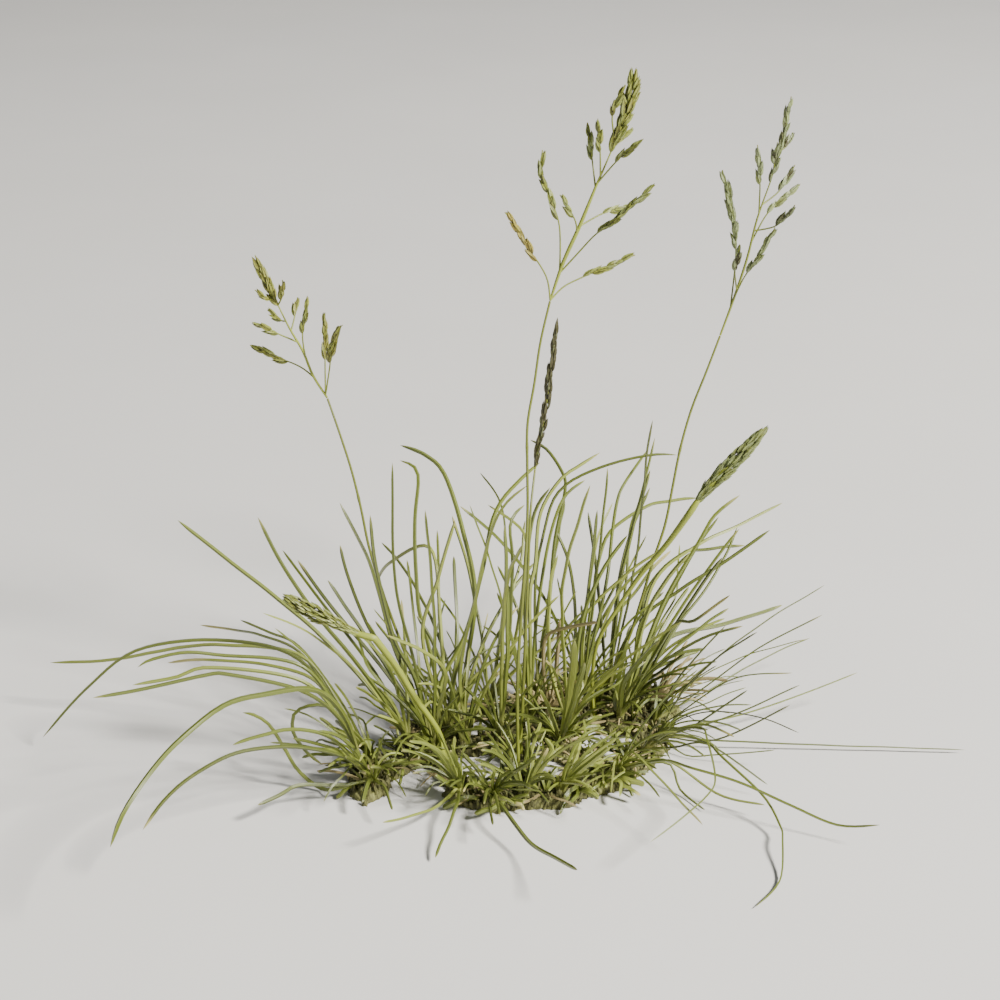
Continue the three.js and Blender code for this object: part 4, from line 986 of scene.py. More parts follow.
@lru_cache
def plan_tussock(young, spacing):
    """Butts first, then culms and heads, then drawn and rising leaves, each clear of those before"""
    clearance = Clearance()
    for tuft in TUFTS + DEAD:
        bottom = (tuft["foot"][0], tuft["foot"][1], CROWN_HEIGHT)
        top = (bottom[0], bottom[1], CROWN_HEIGHT + BUTT_HEIGHT)
        clearance.keep(clearance.test_points([bottom, top], BUTT_RADIUS, tuft["name"]))
    stems = {}
    for stem in STEMS:
        culm = culm_line(stem)
        room = max(stem["girth"]) * CULM_ROOM
        clearance.keep(clearance.test_points(culm, room, "culm_" + stem["name"]))
        stems[stem["name"]] = {"culm": culm, **head_plan(stem, culm)}
    tufts = {}
    random = seeded_random(SHEAF_SEED)
    for tuft in TUFTS + DEAD:
        leaves = []
        for tip_depth, width, points in tuft["leaves"]:
            guide = clearance.place(
                tuft["name"], width / 2,
                lambda shift: drawn_leaf(tuft["foot"], tip_depth, points, shift),
                DEPTH_TRIES, True,
            )
            leaves.append({"guide": guide, "width": width, "turn": between(random, DRAWN_TURN)})
        leaves += [sheaf_leaf(clearance, tuft, random) for _ in range(SHEAF_LEAVES)]
        tufts[tuft["name"]] = [leaf for leaf in leaves if leaf]
    random = seeded_random(YOUNG_SEED)
    for tuft in TUFTS + DEAD:
        leaves = [young_leaf(clearance, tuft, random) for _ in range(young)]
        tufts[tuft["name"]] += [leaf for leaf in leaves if leaf]
    random = seeded_random(SHOOT_SEED)
    shoots = []
    for index in range(len(CROWN_BARS)):
        shoots += shoots_on_bar(clearance, index, spacing, random)
    return {"tufts": tufts, "stems": stems, "shoots": shoots}


def plan_for(scene):
    """The plan with the scene's numbers of young leaves and shoots"""
    return plan_tussock(scene.alpine_leaves.young, scene.alpine_leaves.shoot_spacing / MM)


# Guide meshes: a chain of edges for each blade, stem or branch, with what its tree reads
def strand(line, halves, turns, along, tone, age):
    """A chain of points with half widths, the way its face looks, and its place along the leaf"""
    faces = []
    for i, turn in enumerate(turns):
        way = direction_at(line, i)
        faces.append(cross(across_at(way, turn), way))
    return {"line": line, "half": halves, "face": faces, "along": along, "tone": tone, "age": age}


def plain_mesh(name, points, edges, faces, **values):
    """A mesh with values at its points: three to a point for a direction, or else one"""
    mesh = bpy.data.meshes.new(name)
    mesh.from_pydata(points, edges, faces)
    for key, found in values.items():
        vector = len(found) == 3 * len(points)
        made = mesh.attributes.new(key, "FLOAT_VECTOR" if vector else "FLOAT", "POINT")
        made.data.foreach_set("vector" if vector else "value", found)
    return mesh


def guide_mesh(name, strands):
    points, edges = [], []
    values = {"half_width": [], "face": [], "along": [], "tone": [], "age": []}
    for one in strands:
        first = len(points)
        points += [tuple(value * MM for value in p) for p in one["line"]]
        edges += [(i, i + 1) for i in range(first, len(points) - 1)]
        values["half_width"] += [half * MM for half in one["half"]]
        values["face"] += [value for face in one["face"] for value in face]
        values["along"] += one["along"]
        values["tone"] += [one["tone"]] * len(one["line"])
        values["age"] += [one["age"]] * len(one["line"])
    return plain_mesh(name, points, edges, [], **values)


def link_object(name, mesh):
    made = bpy.data.objects.new(name, mesh)
    bpy.context.scene.collection.objects.link(made)
    return made


def grow(name, mesh, tree, sizes):
    """Runs a tree on a guide mesh and keeps the plain mesh that it gives"""
    guide = link_object(name, mesh)
    modifier = guide.modifiers.new("Growth", "NODES")
    modifier.node_group = tree
    for socket in tree.interface.items_tree:
        if socket.in_out == "INPUT" and socket.name in sizes:
            modifier[socket.identifier] = sizes[socket.name]
    depsgraph = bpy.context.evaluated_depsgraph_get()
    grown = bpy.data.meshes.new_from_object(
        guide.evaluated_get(depsgraph), preserve_all_data_layers=True, depsgraph=depsgraph
    )
    guide.modifiers.remove(modifier)
    guide.data = grown
    bpy.data.meshes.remove(mesh)
    grown.name = name
    return guide


def join_pieces(pieces):
    """Joins pieces into the first of them"""
    with bpy.context.temp_override(active_object=pieces[0], selected_editable_objects=pieces):
        bpy.ops.object.join()
    return pieces[0]


def finish_piece(piece, slot, *nodes):
    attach(piece, BODY)
    if nodes:
        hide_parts(*nodes)


# Building node trees
class Net:
    """Adds nodes to a tree, and links or sets their inputs as it does"""

    def __init__(self, tree):
        self.tree = tree

    def fill(self, socket, value):
        if isinstance(value, bpy.types.NodeSocket):
            self.tree.links.new(value, socket)
        else:
            socket.default_value = value

    def add(self, kind, values=None, **settings):
        node = self.tree.nodes.new(kind)
        for key, value in settings.items():
            setattr(node, key, value)
        for key, value in (values or {}).items():
            self.fill(node.inputs[key], value)
        return node

    def get(self, kind, values=None, output=0, **settings):
        """Adds a node and gives one of its outputs"""
        return self.add(kind, values, **settings).outputs[output]

    def math(self, operation, a, b=0.0, c=0.0, clamp=False):
        return self.get("ShaderNodeMath", {0: a, 1: b, 2: c}, operation=operation, use_clamp=clamp)

    def step(self, value, low, high):
        """0 below low, 1 above high and smooth between them"""
        values = {"Value": value, "From Min": low, "From Max": high}
        return self.get("ShaderNodeMapRange", values, "Result", interpolation_type="SMOOTHSTEP")

    def mix(self, share, a, b):
        return self.get("ShaderNodeMix", {0: share, 6: a, 7: b}, 2, data_type="RGBA")

    def attribute(self, name):
        return self.get("ShaderNodeAttribute", None, "Fac", attribute_name=name, attribute_type="GEOMETRY")

    def noise(self, vector, scale, detail=3.0, roughness=0.55):
        values = {"Vector": vector, "Scale": scale, "Detail": detail, "Roughness": roughness}
        return self.get("ShaderNodeTexNoise", values, "Fac")


def new_tree(name, inputs, outputs=()):
    """An empty group with inputs, each a default number or the name of its type. It puts out the
    numbers that are named, as a group for materials, or else a geometry"""
    tree = bpy.data.node_groups.new(name, "ShaderNodeTree" if outputs else "GeometryNodeTree")
    for label, default in inputs.items():
        kind = NUMBER_SOCKETS.get(type(default), f"NodeSocket{default}")
        made = tree.interface.new_socket(label, in_out="INPUT", socket_type=kind)
        if not isinstance(default, str):
            made.default_value = default
    for label in outputs or ("Geometry",):
        kind = "NodeSocketFloat" if outputs else "NodeSocketGeometry"
        tree.interface.new_socket(label, in_out="OUTPUT", socket_type=kind)
    net = Net(tree)
    return net, net.add("NodeGroupInput").outputs, net.add("NodeGroupOutput").inputs


def end_tree(net, given, result, geometry):
    """Ends a tree with real geometry in the material that it is given"""
    plain = net.get("GeometryNodeRealizeInstances", {"Geometry": geometry})
    values = {"Geometry": plain, "Material": given["Material"]}
    net.fill(result[0], net.get("GeometryNodeSetMaterial", values))
    return net.tree


def named(net, name, data_type="FLOAT"):
    return net.get("GeometryNodeInputNamedAttribute", {"Name": name}, "Attribute", data_type=data_type)


def store(net, geometry, name, value, data_type="FLOAT", domain="POINT"):
    values = {"Geometry": geometry, "Name": name, "Value": value}
    return net.get("GeometryNodeStoreNamedAttribute", values, data_type=data_type, domain=domain)


def strand_tree(name):
    """Sweeps a section along every chain of edges: a folded lens for a blade, or a circle for a stem"""
    net, given, result = new_tree(name, {
        "Geometry": "Geometry", "Sides": 8, "Thickness": 0.16, "Fold": 0.5, "Crease": 0.82,
        "Material": "Material",
    })
    ring = net.get("GeometryNodeCurvePrimitiveCircle", {"Resolution": given["Sides"], "Radius": 1.0})
    place = net.add("ShaderNodeSeparateXYZ", {0: net.get("GeometryNodeInputPosition")}).outputs
    inward = net.math("SUBTRACT", net.math("ABSOLUTE", place["Y"]), 1.0)
    drop = net.math("MULTIPLY", inward, given["Fold"])
    lens = net.math("MULTIPLY_ADD", place["X"], given["Thickness"], drop)
    section = net.get("GeometryNodeSetPosition", {
        "Geometry": store(net, ring, "across", place["Y"]),
        "Position": net.get("ShaderNodeCombineXYZ", {"X": lens, "Y": place["Y"]}),
    })
    guides = net.get("GeometryNodeMeshToCurve", {"Mesh": given["Geometry"]})
    facing = {"Curve": guides, "Normal": named(net, "face", "FLOAT_VECTOR")}
    swept = net.get("GeometryNodeCurveToMesh", {
        "Curve": net.get("GeometryNodeSetCurveNormal", facing, mode="FREE"),
        "Profile Curve": section, "Scale": named(net, "half_width"), "Fill Caps": True,
    })
    across = net.math("MULTIPLY_ADD", named(net, "across"), 0.5, 0.5)
    spread = net.get("ShaderNodeCombineXYZ", {"X": across, "Y": named(net, "along")})
    mapped = store(net, swept, "UVMap", spread, "FLOAT2", "CORNER")
    smooth = net.get("GeometryNodeSetShadeSmooth", {"Geometry": mapped})
    sharp = net.math("GREATER_THAN", net.get("GeometryNodeInputMeshEdgeAngle"), given["Crease"])
    edges = {"Geometry": smooth, "Selection": sharp, "Shade Smooth": False}
    return end_tree(net, given, result, net.get("GeometryNodeSetShadeSmooth", edges, domain="EDGE"))


def spikelet_tree(name):
    """Sets a spikelet on every point, along its way and with its flat side to its face"""
    net, given, result = new_tree(name, {
        "Geometry": "Geometry", "Spikelet": "Object", "Slimness": 1.0, "Material": "Material",
    })
    broad = net.math("MULTIPLY", named(net, "grown"), given["Slimness"])
    way, face = (named(net, key, "FLOAT_VECTOR") for key in ("way", "face"))
    axes = {"Primary Axis": way, "Secondary Axis": face}
    placed = net.get("GeometryNodeInstanceOnPoints", {
        "Points": net.get("GeometryNodeMeshToPoints", {"Mesh": given["Geometry"]}),
        "Instance": net.get("GeometryNodeObjectInfo", {"Object": given["Spikelet"]}, "Geometry"),
        "Rotation": net.get("FunctionNodeAxesToRotation", axes, primary_axis="Z", secondary_axis="X"),
        "Scale": net.get("ShaderNodeCombineXYZ", {"X": broad, "Y": broad, "Z": named(net, "grown")}),
    })
    return end_tree(net, given, result, placed)


def stub_tree(name):
    """Packs old sheath stubs over the top of the crown, all above the ground"""
    net, given, result = new_tree(name, {
        "Geometry": "Geometry", "Stub": "Object", "Density": 120000.0, "Seed": 5, "Least Size": 0.0012,
        "Most Size": 0.003, "Lean": 0.5, "Material": "Material",
    })
    seed = given["Seed"]
    normal = net.get("ShaderNodeSeparateXYZ", {0: net.get("GeometryNodeInputNormal")}, "Z")
    upper = {0: normal, 1: STUB_SLOPE}
    spots = net.get("GeometryNodeDistributePointsOnFaces", {
        "Mesh": given["Geometry"], "Density": given["Density"], "Seed": seed,
        "Selection": net.get("FunctionNodeCompare", upper, data_type="FLOAT", operation="GREATER_THAN"),
    }, "Points", distribute_method="RANDOM")
    angles = {0: (-1.0, -1.0, 0.0), 1: (1.0, 1.0, 6.28), "Seed": seed}
    lean = net.get("FunctionNodeRandomValue", angles, data_type="FLOAT_VECTOR")
    leans = net.get("ShaderNodeCombineXYZ", {"X": given["Lean"], "Y": given["Lean"], "Z": 1.0})
    sizes = {2: given["Least Size"], 3: given["Most Size"], "Seed": seed}
    placed = net.get("GeometryNodeInstanceOnPoints", {
        "Points": spots,
        "Instance": net.get("GeometryNodeObjectInfo", {"Object": given["Stub"]}, "Geometry"),
        "Rotation": net.get("ShaderNodeVectorMath", {0: lean, 1: leans}, operation="MULTIPLY"),
        "Scale": net.get("FunctionNodeRandomValue", sizes, 1, data_type="FLOAT"),
    })
    both = net.add("GeometryNodeJoinGeometry", {0: placed})
    net.fill(both.inputs[0], given["Geometry"])
    plain = net.get("GeometryNodeRealizeInstances", {"Geometry": both.outputs[0]})
    spot = net.add("ShaderNodeSeparateXYZ", {0: net.get("GeometryNodeInputPosition")}).outputs
    raised = {"X": spot["X"], "Y": spot["Y"], "Z": net.math("MAXIMUM", spot["Z"], 0.0)}
    values = {"Geometry": plain, "Position": net.get("ShaderNodeCombineXYZ", raised)}
    return end_tree(net, given, result, net.get("GeometryNodeSetPosition", values))


# Effects that several materials share
def ribs_group(name):
    """Fine lengthwise ribs and a midrib across a blade or stem"""
    inputs = {"Across": 0.0, "Ribs": 9.0, "Midrib": 0.16}
    net, given, result = new_tree(name, inputs, ("Ridge", "Midrib"))
    angle = net.math("MULTIPLY", net.math("MULTIPLY", given["Across"], given["Ribs"]), math.pi)
    off = net.math("DIVIDE", net.math("ABSOLUTE", given["Across"]), given["Midrib"])
    net.fill(result["Ridge"], net.math("MULTIPLY_ADD", net.math("COSINE", angle), 0.5, 0.5))
    net.fill(result["Midrib"], net.math("SUBTRACT", 1.0, off, clamp=True))
    return net.tree


def streaks_group(name):
    """Streaks drawn out along a blade, with softer patches between them"""
    inputs = {"Vector": "Vector", "Across": 0.0, "Along": 0.0, "Tone": 0.0, "Patch Scale": 90.0}
    net, given, result = new_tree(name, inputs, ("Streak", "Patch"))
    drawn = net.get("ShaderNodeCombineXYZ", {
        "X": net.math("MULTIPLY", given["Across"], 5.0),
        "Y": net.math("MULTIPLY", given["Along"], 2.4),
        "Z": net.math("MULTIPLY", given["Tone"], 50.0),
    })
    net.fill(result["Streak"], net.noise(drawn, 1.6, 4.0, 0.6))
    net.fill(result["Patch"], net.noise(given["Vector"], given["Patch Scale"]))
    return net.tree


def withering_group(name):
    """Where a leaf has dried: from its tip down, and in flecks, the more the older it is"""
    inputs = {"Along": 0.0, "Age": 0.0, "Patch": 0.5}
    net, given, result = new_tree(name, inputs, ("Dry", "Fleck"))
    reach = net.math("SUBTRACT", 1.02, net.math("MULTIPLY", given["Age"], 0.5))
    uneven = net.math("MULTIPLY_ADD", given["Patch"], 0.16, net.math("SUBTRACT", given["Along"], 0.08))
    net.fill(result["Dry"], net.step(net.math("SUBTRACT", uneven, reach), -0.06, 0.08))
    net.fill(result["Fleck"], net.math("MULTIPLY", net.step(given["Patch"], 0.62, 0.74), given["Age"]))
    return net.tree


def use_group(net, build, name, values):
    return net.add("ShaderNodeGroup", values, node_tree=shared_tree(build, name)).outputs


def new_material(name):
    """An empty material with its net, its Principled shader's inputs and Object coordinates"""
    material = bpy.data.materials.new(name)
    material.use_nodes = True
    net = Net(material.node_tree)
    position = net.get("ShaderNodeTexCoord", None, "Object")
    return material, net, net.tree.nodes["Principled BSDF"].inputs, position


def dress(net, shader, color, roughness, height=None, strength=0.0, distance=0.0):
    """Links what a shader's colour and roughness follow, and its relief if it has one"""
    net.fill(shader["Base Color"], color)
    net.fill(shader["Roughness"], roughness)
    if height is not None:
        relief = {"Height": height, "Strength": strength, "Distance": distance}
        net.fill(shader["Normal"], net.get("ShaderNodeBump", relief, "Normal"))


def rgb(color):
    return (color[0], color[1], color[2], 1.0)


def ramp(net, factor, stops):
    node = net.add("ShaderNodeValToRGB", {0: factor})
    elements = node.color_ramp.elements
    while len(elements) < len(stops):
        elements.new(0.5)
    for element, (position, color) in zip(elements, stops):
        element.position = position
        element.color = rgb(color)
    return node.outputs["Color"]


def blade_material(name, colors, ribs, roughness):
    """A ribbed blade: pale and strawy at its foot, green along it, dry at its tip with age.
    Its colours are (foot, dark, middle, pale, dry)."""
    material, net, shader, position = new_material(name)
    foot, dark, middle, pale, dry = colors
    across, along, tone, age = (net.attribute(key) for key in ("across", "along", "tone", "age"))
    rib = use_group(net, ribs_group, "Lengthwise ribs", {"Across": across, "Ribs": ribs})
    lines = {"Vector": position, "Across": across, "Along": along, "Tone": tone}
    streak = use_group(net, streaks_group, "Drawn-out streaks", lines)
    drying = {"Along": along, "Age": age, "Patch": streak["Patch"]}
    wither = use_group(net, withering_group, "Withering", drying)
    shade = net.math("SUBTRACT", streak["Streak"], 0.5)
    shade = net.math("MULTIPLY_ADD", shade, STREAK_SHOWS, tone)
    color = ramp(net, shade, [(0.0, dark), (0.5, middle), (1.0, pale)])
    color = net.mix(net.math("MULTIPLY", rib["Ridge"], RIDGE_SHOWS), color, rgb(pale))
    color = net.mix(net.math("MULTIPLY", rib["Midrib"], MIDRIB_SHOWS), color, rgb(pale))
    color = net.mix(wither["Dry"], net.mix(wither["Fleck"], color, rgb(dry)), rgb(dry))
    color = net.mix(net.step(along, 0.0, PALE_FOOT), rgb(foot), color)
    gloss = net.math("MULTIPLY_ADD", streak["Streak"], GLOSS_VARIES, roughness - GLOSS_VARIES / 2)
    gloss = net.math("MULTIPLY_ADD", wither["Dry"], DRY_ROUGHER, gloss)
    height = net.math("MULTIPLY_ADD", streak["Streak"], STREAK_RELIEF, rib["Ridge"])
    dress(net, shader, color, gloss, height, *BLADE_RELIEF)
    return material


def husk_material(name, colors):
    """Glumes and lemmas: green and pale by their stem, with dry, purplish edges at their tips.
    Painted shade darkens their tucked-in feet, their sides by the axis, some spikelets at random and the
    dark spike. Its colours are (grey green, yellow green, golden, tip); the tip colour also serves as
    painted shade."""
    material, net, shader, position = new_material(name)
    grey, green, golden, tip = colors
    up, edge, tone = (net.attribute(key) for key in ("scale_up", "scale_edge", "tone"))
    patch = net.noise(position, HUSK_GRAIN)
    shade = net.math("MULTIPLY_ADD", net.math("SUBTRACT", patch, 0.5), HUSK_MOTTLED, tone)
    # Below the grey stop the ramp runs to the dark tip colour, which is painted shade on the dark spike
    color = ramp(net, shade, list(zip(HUSK_STOPS, (tip, grey, green, golden))))
    # Painted shade: each scale darker at its tucked-in foot, and each spikelet darker by a random share of
    # its own, as if lit or shaded
    own = net.math("FRACT", net.math("MULTIPLY", tone, 53.0))
    tucked_foot_shade = net.math("SUBTRACT", 1.0, net.step(up, 0.05, 0.5))
    dark = net.math("MULTIPLY_ADD", tucked_foot_shade, HUSK_PAINTED_FOOT_SHADE, net.math("MULTIPLY", own, HUSK_PAINTED_RANDOM_SHADE))
    color = net.mix(dark, color, rgb(tip))
    rib = use_group(net, ribs_group, "Lengthwise ribs", {"Across": edge, **HUSK_RIBS})
    lit = net.math("MULTIPLY_ADD", net.step(tone, 0.05, 0.2), 0.3, 0.15)
    color = net.mix(net.math("MULTIPLY", rib["Midrib"], lit), color, rgb(grey))
    color = net.mix(net.math("MULTIPLY", net.step(up, 0.62, 1.0), 0.6), color, rgb(tip))
    # Darker margins: the dry, purplish edges of the scales, and painted shade on the sides that face the
    # axis
    margin_and_shade = net.step(net.math("ABSOLUTE", edge), 0.45, 1.0)
    margin_and_shade = net.math("MULTIPLY", margin_and_shade, net.step(up, 0.1, 0.6))
    color = net.mix(net.math("MULTIPLY", margin_and_shade, net.step(tone, 0.1, 0.5)), color, rgb(tip))
    height = net.math("MULTIPLY_ADD", rib["Ridge"], 0.5, patch)
    gloss = net.math("MULTIPLY_ADD", patch, 0.3, HUSK_ROUGHNESS)
    dress(net, shader, color, gloss, height, *HUSK_RELIEF)
    return material


def crown_material(name, colors):
    """Packed old sheaths: brown and straw fibres with dark between them"""
    material, net, shader, position = new_material(name)
    tall = net.get("ShaderNodeMapping", {"Vector": position, "Scale": (1.0, 1.0, 0.22)})
    fibre = net.noise(tall, *FIBRE_NOISE)
    patch = net.noise(position, FIBRE_PATCHES)
    shade = net.math("MULTIPLY_ADD", net.math("SUBTRACT", patch, 0.5), 0.8, fibre)
    color = ramp(net, shade, list(zip(FIBRE_STOPS, colors)))
    gloss = net.math("MULTIPLY_ADD", fibre, 0.2, FIBRE_ROUGHNESS)
    dress(net, shader, color, gloss, fibre, *FIBRE_RELIEF)
    return material


def floor_material(name, color):
    """Plain pale board with the faintest mottling"""
    material, net, shader, position = new_material(name)
    grain = net.noise(position, 6.0, 4.0)
    darker = tuple(value * 0.97 for value in color)
    mottled = net.mix(net.step(grain, 0.2, 0.8), rgb(darker), rgb(color))
    dress(net, shader, mottled, net.math("MULTIPLY_ADD", grain, 0.1, 0.8))
    return material


# Leaves
def blade_half(share, width):
    """Half the width of a blade: narrow at its foot, then nearly even, with a blunt boat-shaped tip"""
    opening = BLADE_FOOT_WIDTH + (1 - BLADE_FOOT_WIDTH) * min(1, share / BLADE_FOOT_REACH)
    tip = min(1, (1 - share) / BLADE_TIP) ** TIP_ROUNDING
    return max(LEAST_HALF, width / 2 * opening * (1 - BLADE_TAPER * share**3) * tip)


def wavered(places, turn, random):
    """The line with a faint side to side waver, none at its root"""
    size = between(random, WAVER)
    waves = line_length(places) / between(random, WAVER_LENGTH)
    phase = between(random, (0, 2 * math.pi))
    found = []
    for i, place in enumerate(places):
        share = i / (len(places) - 1)
        off = size * min(1, share / WAVER_FULL) * math.sin(2 * math.pi * waves * share + phase)
        found.append(plus(place, across_at(direction_at(places, i), turn), off))
    return found


def leaf_strand(leaf, random, tuft_tone, thin=1.0):
    reach = line_length(leaf["guide"])
    places = wavered(smooth_line(leaf["guide"], FINE_PLACES), leaf["turn"], random)
    count = max(BLADE_STEPS[0], min(BLADE_STEPS[1], whole(reach / BLADE_STEP)))
    shares = [TIP_FROM * i / count for i in range(count + 1)] + TIP_SHARES
    twist = between(random, BLADE_TWIST)
    tone = tuft_tone + between(random, LEAF_TONE)
    age = between(random, OLD_AGE) if random() < OLD_LEAVES else between(random, YOUNG_AGE)
    return strand(
        [places[whole(share * FINE_PLACES)] for share in shares],
        [blade_half(share, leaf["width"] * LEAF_SLIM * thin) for share in shares],
        [leaf["turn"] + twist * share for share in shares],
        shares, tone, age,
    )


def sheath_strand(foot, leaf, random, tuft_tone):
    """The sheath that a leaf rises from: it wraps the foot, and ends where the blade stands free"""
    reach = line_length(leaf["guide"])
    places = smooth_line(leaf["guide"], FINE_PLACES)
    rise = min(SHEATH_REACH * between(random, SHEATH_REACH_VARIES), SHEATH_MOST * reach) / reach
    root = places[0]
    start = toward((foot[0], foot[1], CROWN_HEIGHT), (root[0], root[1], CROWN_HEIGHT), SHEATH_SPREAD)
    guide = [start] + [places[whole(rise * part * FINE_PLACES)] for part in (0, 0.5, 1)]
    shares = [i / SHEATH_STEPS for i in range(SHEATH_STEPS + 1)]
    girth = SHEATH_HALF * between(random, SHEATH_HALF_VARIES)
    return strand(
        smooth_line(guide, SHEATH_STEPS),
        [girth * (1 - SHEATH_TAPER * share) * (1 if share < 1 else SHEATH_LIP) for share in shares],
        [leaf["turn"]] * len(shares),
        [share * rise for share in shares], tuft_tone + SHEATH_PALER, SHEATH_AGE,
    )


class AlpineLeafSettings(bpy.types.PropertyGroup):
    """Sizes and colours of the leaves"""

    young: IntProperty(
        name="Young leaves", description="Short leaves added round each foot", default=12, min=0, max=30)
    shoot_spacing: FloatProperty(
        name="Shoot spacing", description="Distance between the short shoots along the crown",
        default=0.0034, min=0.001, unit="LENGTH", precision=4)
    thickness: FloatProperty(
        name="Thickness", description="Thickness of a blade at its middle, as a share of its width",
        default=0.15, min=0.05, max=0.5, subtype="FACTOR")
    fold: FloatProperty(
        name="Fold", description="Depth of the fold along a blade, as a share of half its width",
        default=0.7, min=0.0, max=1.0, subtype="FACTOR")
    foot: FloatVectorProperty(
        name="Foot", description="Colour of the pale sheaths", subtype="COLOR",
        default=(0.27, 0.28, 0.085))
    dark: FloatVectorProperty(
        name="Dark green", description="Colour of the darkest leaves", subtype="COLOR",
        default=(0.028, 0.04, 0.005))
    middle: FloatVectorProperty(
        name="Green", description="Colour of most leaves", subtype="COLOR",
        default=(0.105, 0.135, 0.015))
    pale: FloatVectorProperty(
        name="Pale green", description="Colour of the palest leaves and of the ribs", subtype="COLOR",
        default=(0.36, 0.40, 0.09))
    dry: FloatVectorProperty(
        name="Dry tip", description="Colour of dried leaf tips", subtype="COLOR",
        default=(0.42, 0.38, 0.14))


class AlpineStrawSettings(bpy.types.PropertyGroup):
    """Colours of the withered leaves and the crown"""

    straw: FloatVectorProperty(
        name="Straw", description="Colour of withered leaves", subtype="COLOR",
        default=(0.44, 0.36, 0.16))
    brown: FloatVectorProperty(
        name="Brown", description="Colour of old sheaths", subtype="COLOR",
        default=(0.10, 0.098, 0.03))
    shadow: FloatVectorProperty(
        name="Shadow", description="Colour deep between the old sheaths", subtype="COLOR",
        default=(0.03, 0.033, 0.01))
    density: FloatProperty(
        name="Stubs", description="Old sheath stubs on a square metre of the crown",
        default=130000.0, min=0.0)
    litter: IntProperty(
        name="Litter", description="Fallen straws lying on the crown", default=90, min=0, max=400)


class AlpinePanicleSettings(bpy.types.PropertyGroup):
    """Sizes and colours of the culms and panicles"""

    grey: FloatVectorProperty(
        name="Grey green", description="Colour of young spikelets", subtype="COLOR",
        default=(0.27, 0.33, 0.15))
    green: FloatVectorProperty(
        name="Yellow green", description="Colour of spikelets in flower", subtype="COLOR",
        default=(0.25, 0.29, 0.035))
    golden: FloatVectorProperty(
        name="Golden", description="Colour of ripe spikelets", subtype="COLOR",
        default=(0.40, 0.31, 0.045))
    # The colour of the scale tips, which the husks also use for their painted shade
    tip: FloatVectorProperty(
        name="Scale tip", description="Colour of the tips of the scales", subtype="COLOR",
        default=(0.045, 0.04, 0.01))


class AlpineStageSettings(bpy.types.PropertyGroup):
    """The floor, the lights and the camera"""

    floor: FloatVectorProperty(
        name="Floor", description="Colour of the floor", subtype="COLOR",
        default=(0.68, 0.67, 0.65))
    key: FloatProperty(
        name="Key light", description="Power of the key light", default=440.0, min=0.0, unit="POWER")
    fill: FloatProperty(
        name="Fill light", description="Power of each of the weaker lights", default=3.0, min=0.0,
        unit="POWER")
    lens: FloatProperty(
        name="Lens", description="Focal length of the camera", default=85.0, min=10.0, unit="CAMERA")


def leaf_sizes(scene, slot, sides):
    """What the strand tree takes for blades: green ones, or withered ones in the slot straw"""
    leaves = scene.alpine_leaves
    straw = scene.alpine_straw
    rotten, faded = (tuple(share * value for value in straw.straw) for share in ROTTEN_FADED)
    colors = {
        "leaf": (leaves.foot, leaves.dark, leaves.middle, leaves.pale, leaves.dry),
        "straw": (straw.brown, rotten, faded, straw.straw, straw.straw),
    }
    name, ribs, roughness = LEAF_LOOKS[slot]
    material = shared_material(blade_material, name, colors[slot], ribs, roughness)
    return {"Sides": sides, "Thickness": leaves.thickness, "Fold": leaves.fold, "Material": material}


def shared_material(build, name, *looks):
    return bpy.data.materials.get(name) or build(name, *looks)


def shared_tree(build, name):
    return bpy.data.node_groups.get(name) or build(name)


def strands_piece(name, strands, sizes):
    """One piece of strands, swept by the shared tree"""
    tree = shared_tree(strand_tree, "Strands along guides")
    return grow(name, guide_mesh(name, strands), tree, sizes)


def grow_tufts(scene, tufts, slot, seed):
    """One piece for each tuft: its leaves and the sheaths at their feet"""
    plan = plan_for(scene)["tufts"]
    sizes = leaf_sizes(scene, slot, BLADE_SIDES)
    random = seeded_random(seed)
    for tuft in tufts:
        name = tuft["name"]
        # The right fan's tufts take a lower tone: painted shade
        tone = between(random, TUFT_TONE) - (PAINTED_SHADE_DROP if name in PAINTED_SHADE_TUFTS else 0.0)
        thin = THIN_TUFTS.get(name, 1.0)
        strands = [leaf_strand(leaf, random, tone, thin) for leaf in plan[name]]
        strands += [sheath_strand(tuft["foot"], leaf, random, tone) for leaf in plan[name]]
        finish_piece(strands_piece("leaves_" + name, strands, sizes), slot, name)


class ALPINE_OT_leaves(bpy.types.Operator):
    """Grow the green leaf tufts and their sheaths"""

    bl_idname = "alpine.leaves"
    bl_label = "Leaf tufts"

    def execute(self, context):
        grow_tufts(context.scene, TUFTS, "leaf", SEEDS["leaves"])
        return {"FINISHED"}


class ALPINE_OT_shoots(bpy.types.Operator):
    """Grow the short shoots that cover the crown"""

    bl_idname = "alpine.shoots"
    bl_label = "Short shoots"

    def execute(self, context):
        random = seeded_random(SEEDS["shoots"])
        strands = []
        for leaf in plan_for(context.scene)["shoots"]:
            strands.append(leaf_strand(leaf, random, between(random, TUFT_TONE)))
        sizes = leaf_sizes(context.scene, "leaf", SHOOT_SIDES)
        finish_piece(strands_piece("short_shoots", strands, sizes), "leaf")
        return {"FINISHED"}


class ALPINE_OT_straw(bpy.types.Operator):
    """Grow the withered leaves"""

    bl_idname = "alpine.straw"
    bl_label = "Withered leaves"

    def execute(self, context):
        grow_tufts(context.scene, DEAD, "straw", SEEDS["straw"])
        return {"FINISHED"}


# Culms and panicles
def stem_strand(line, radii, tone):
    count = len(line) - 1
    return strand(line, radii, [0.0] * len(line), [i / count for i in range(count + 1)], tone, 0.0)


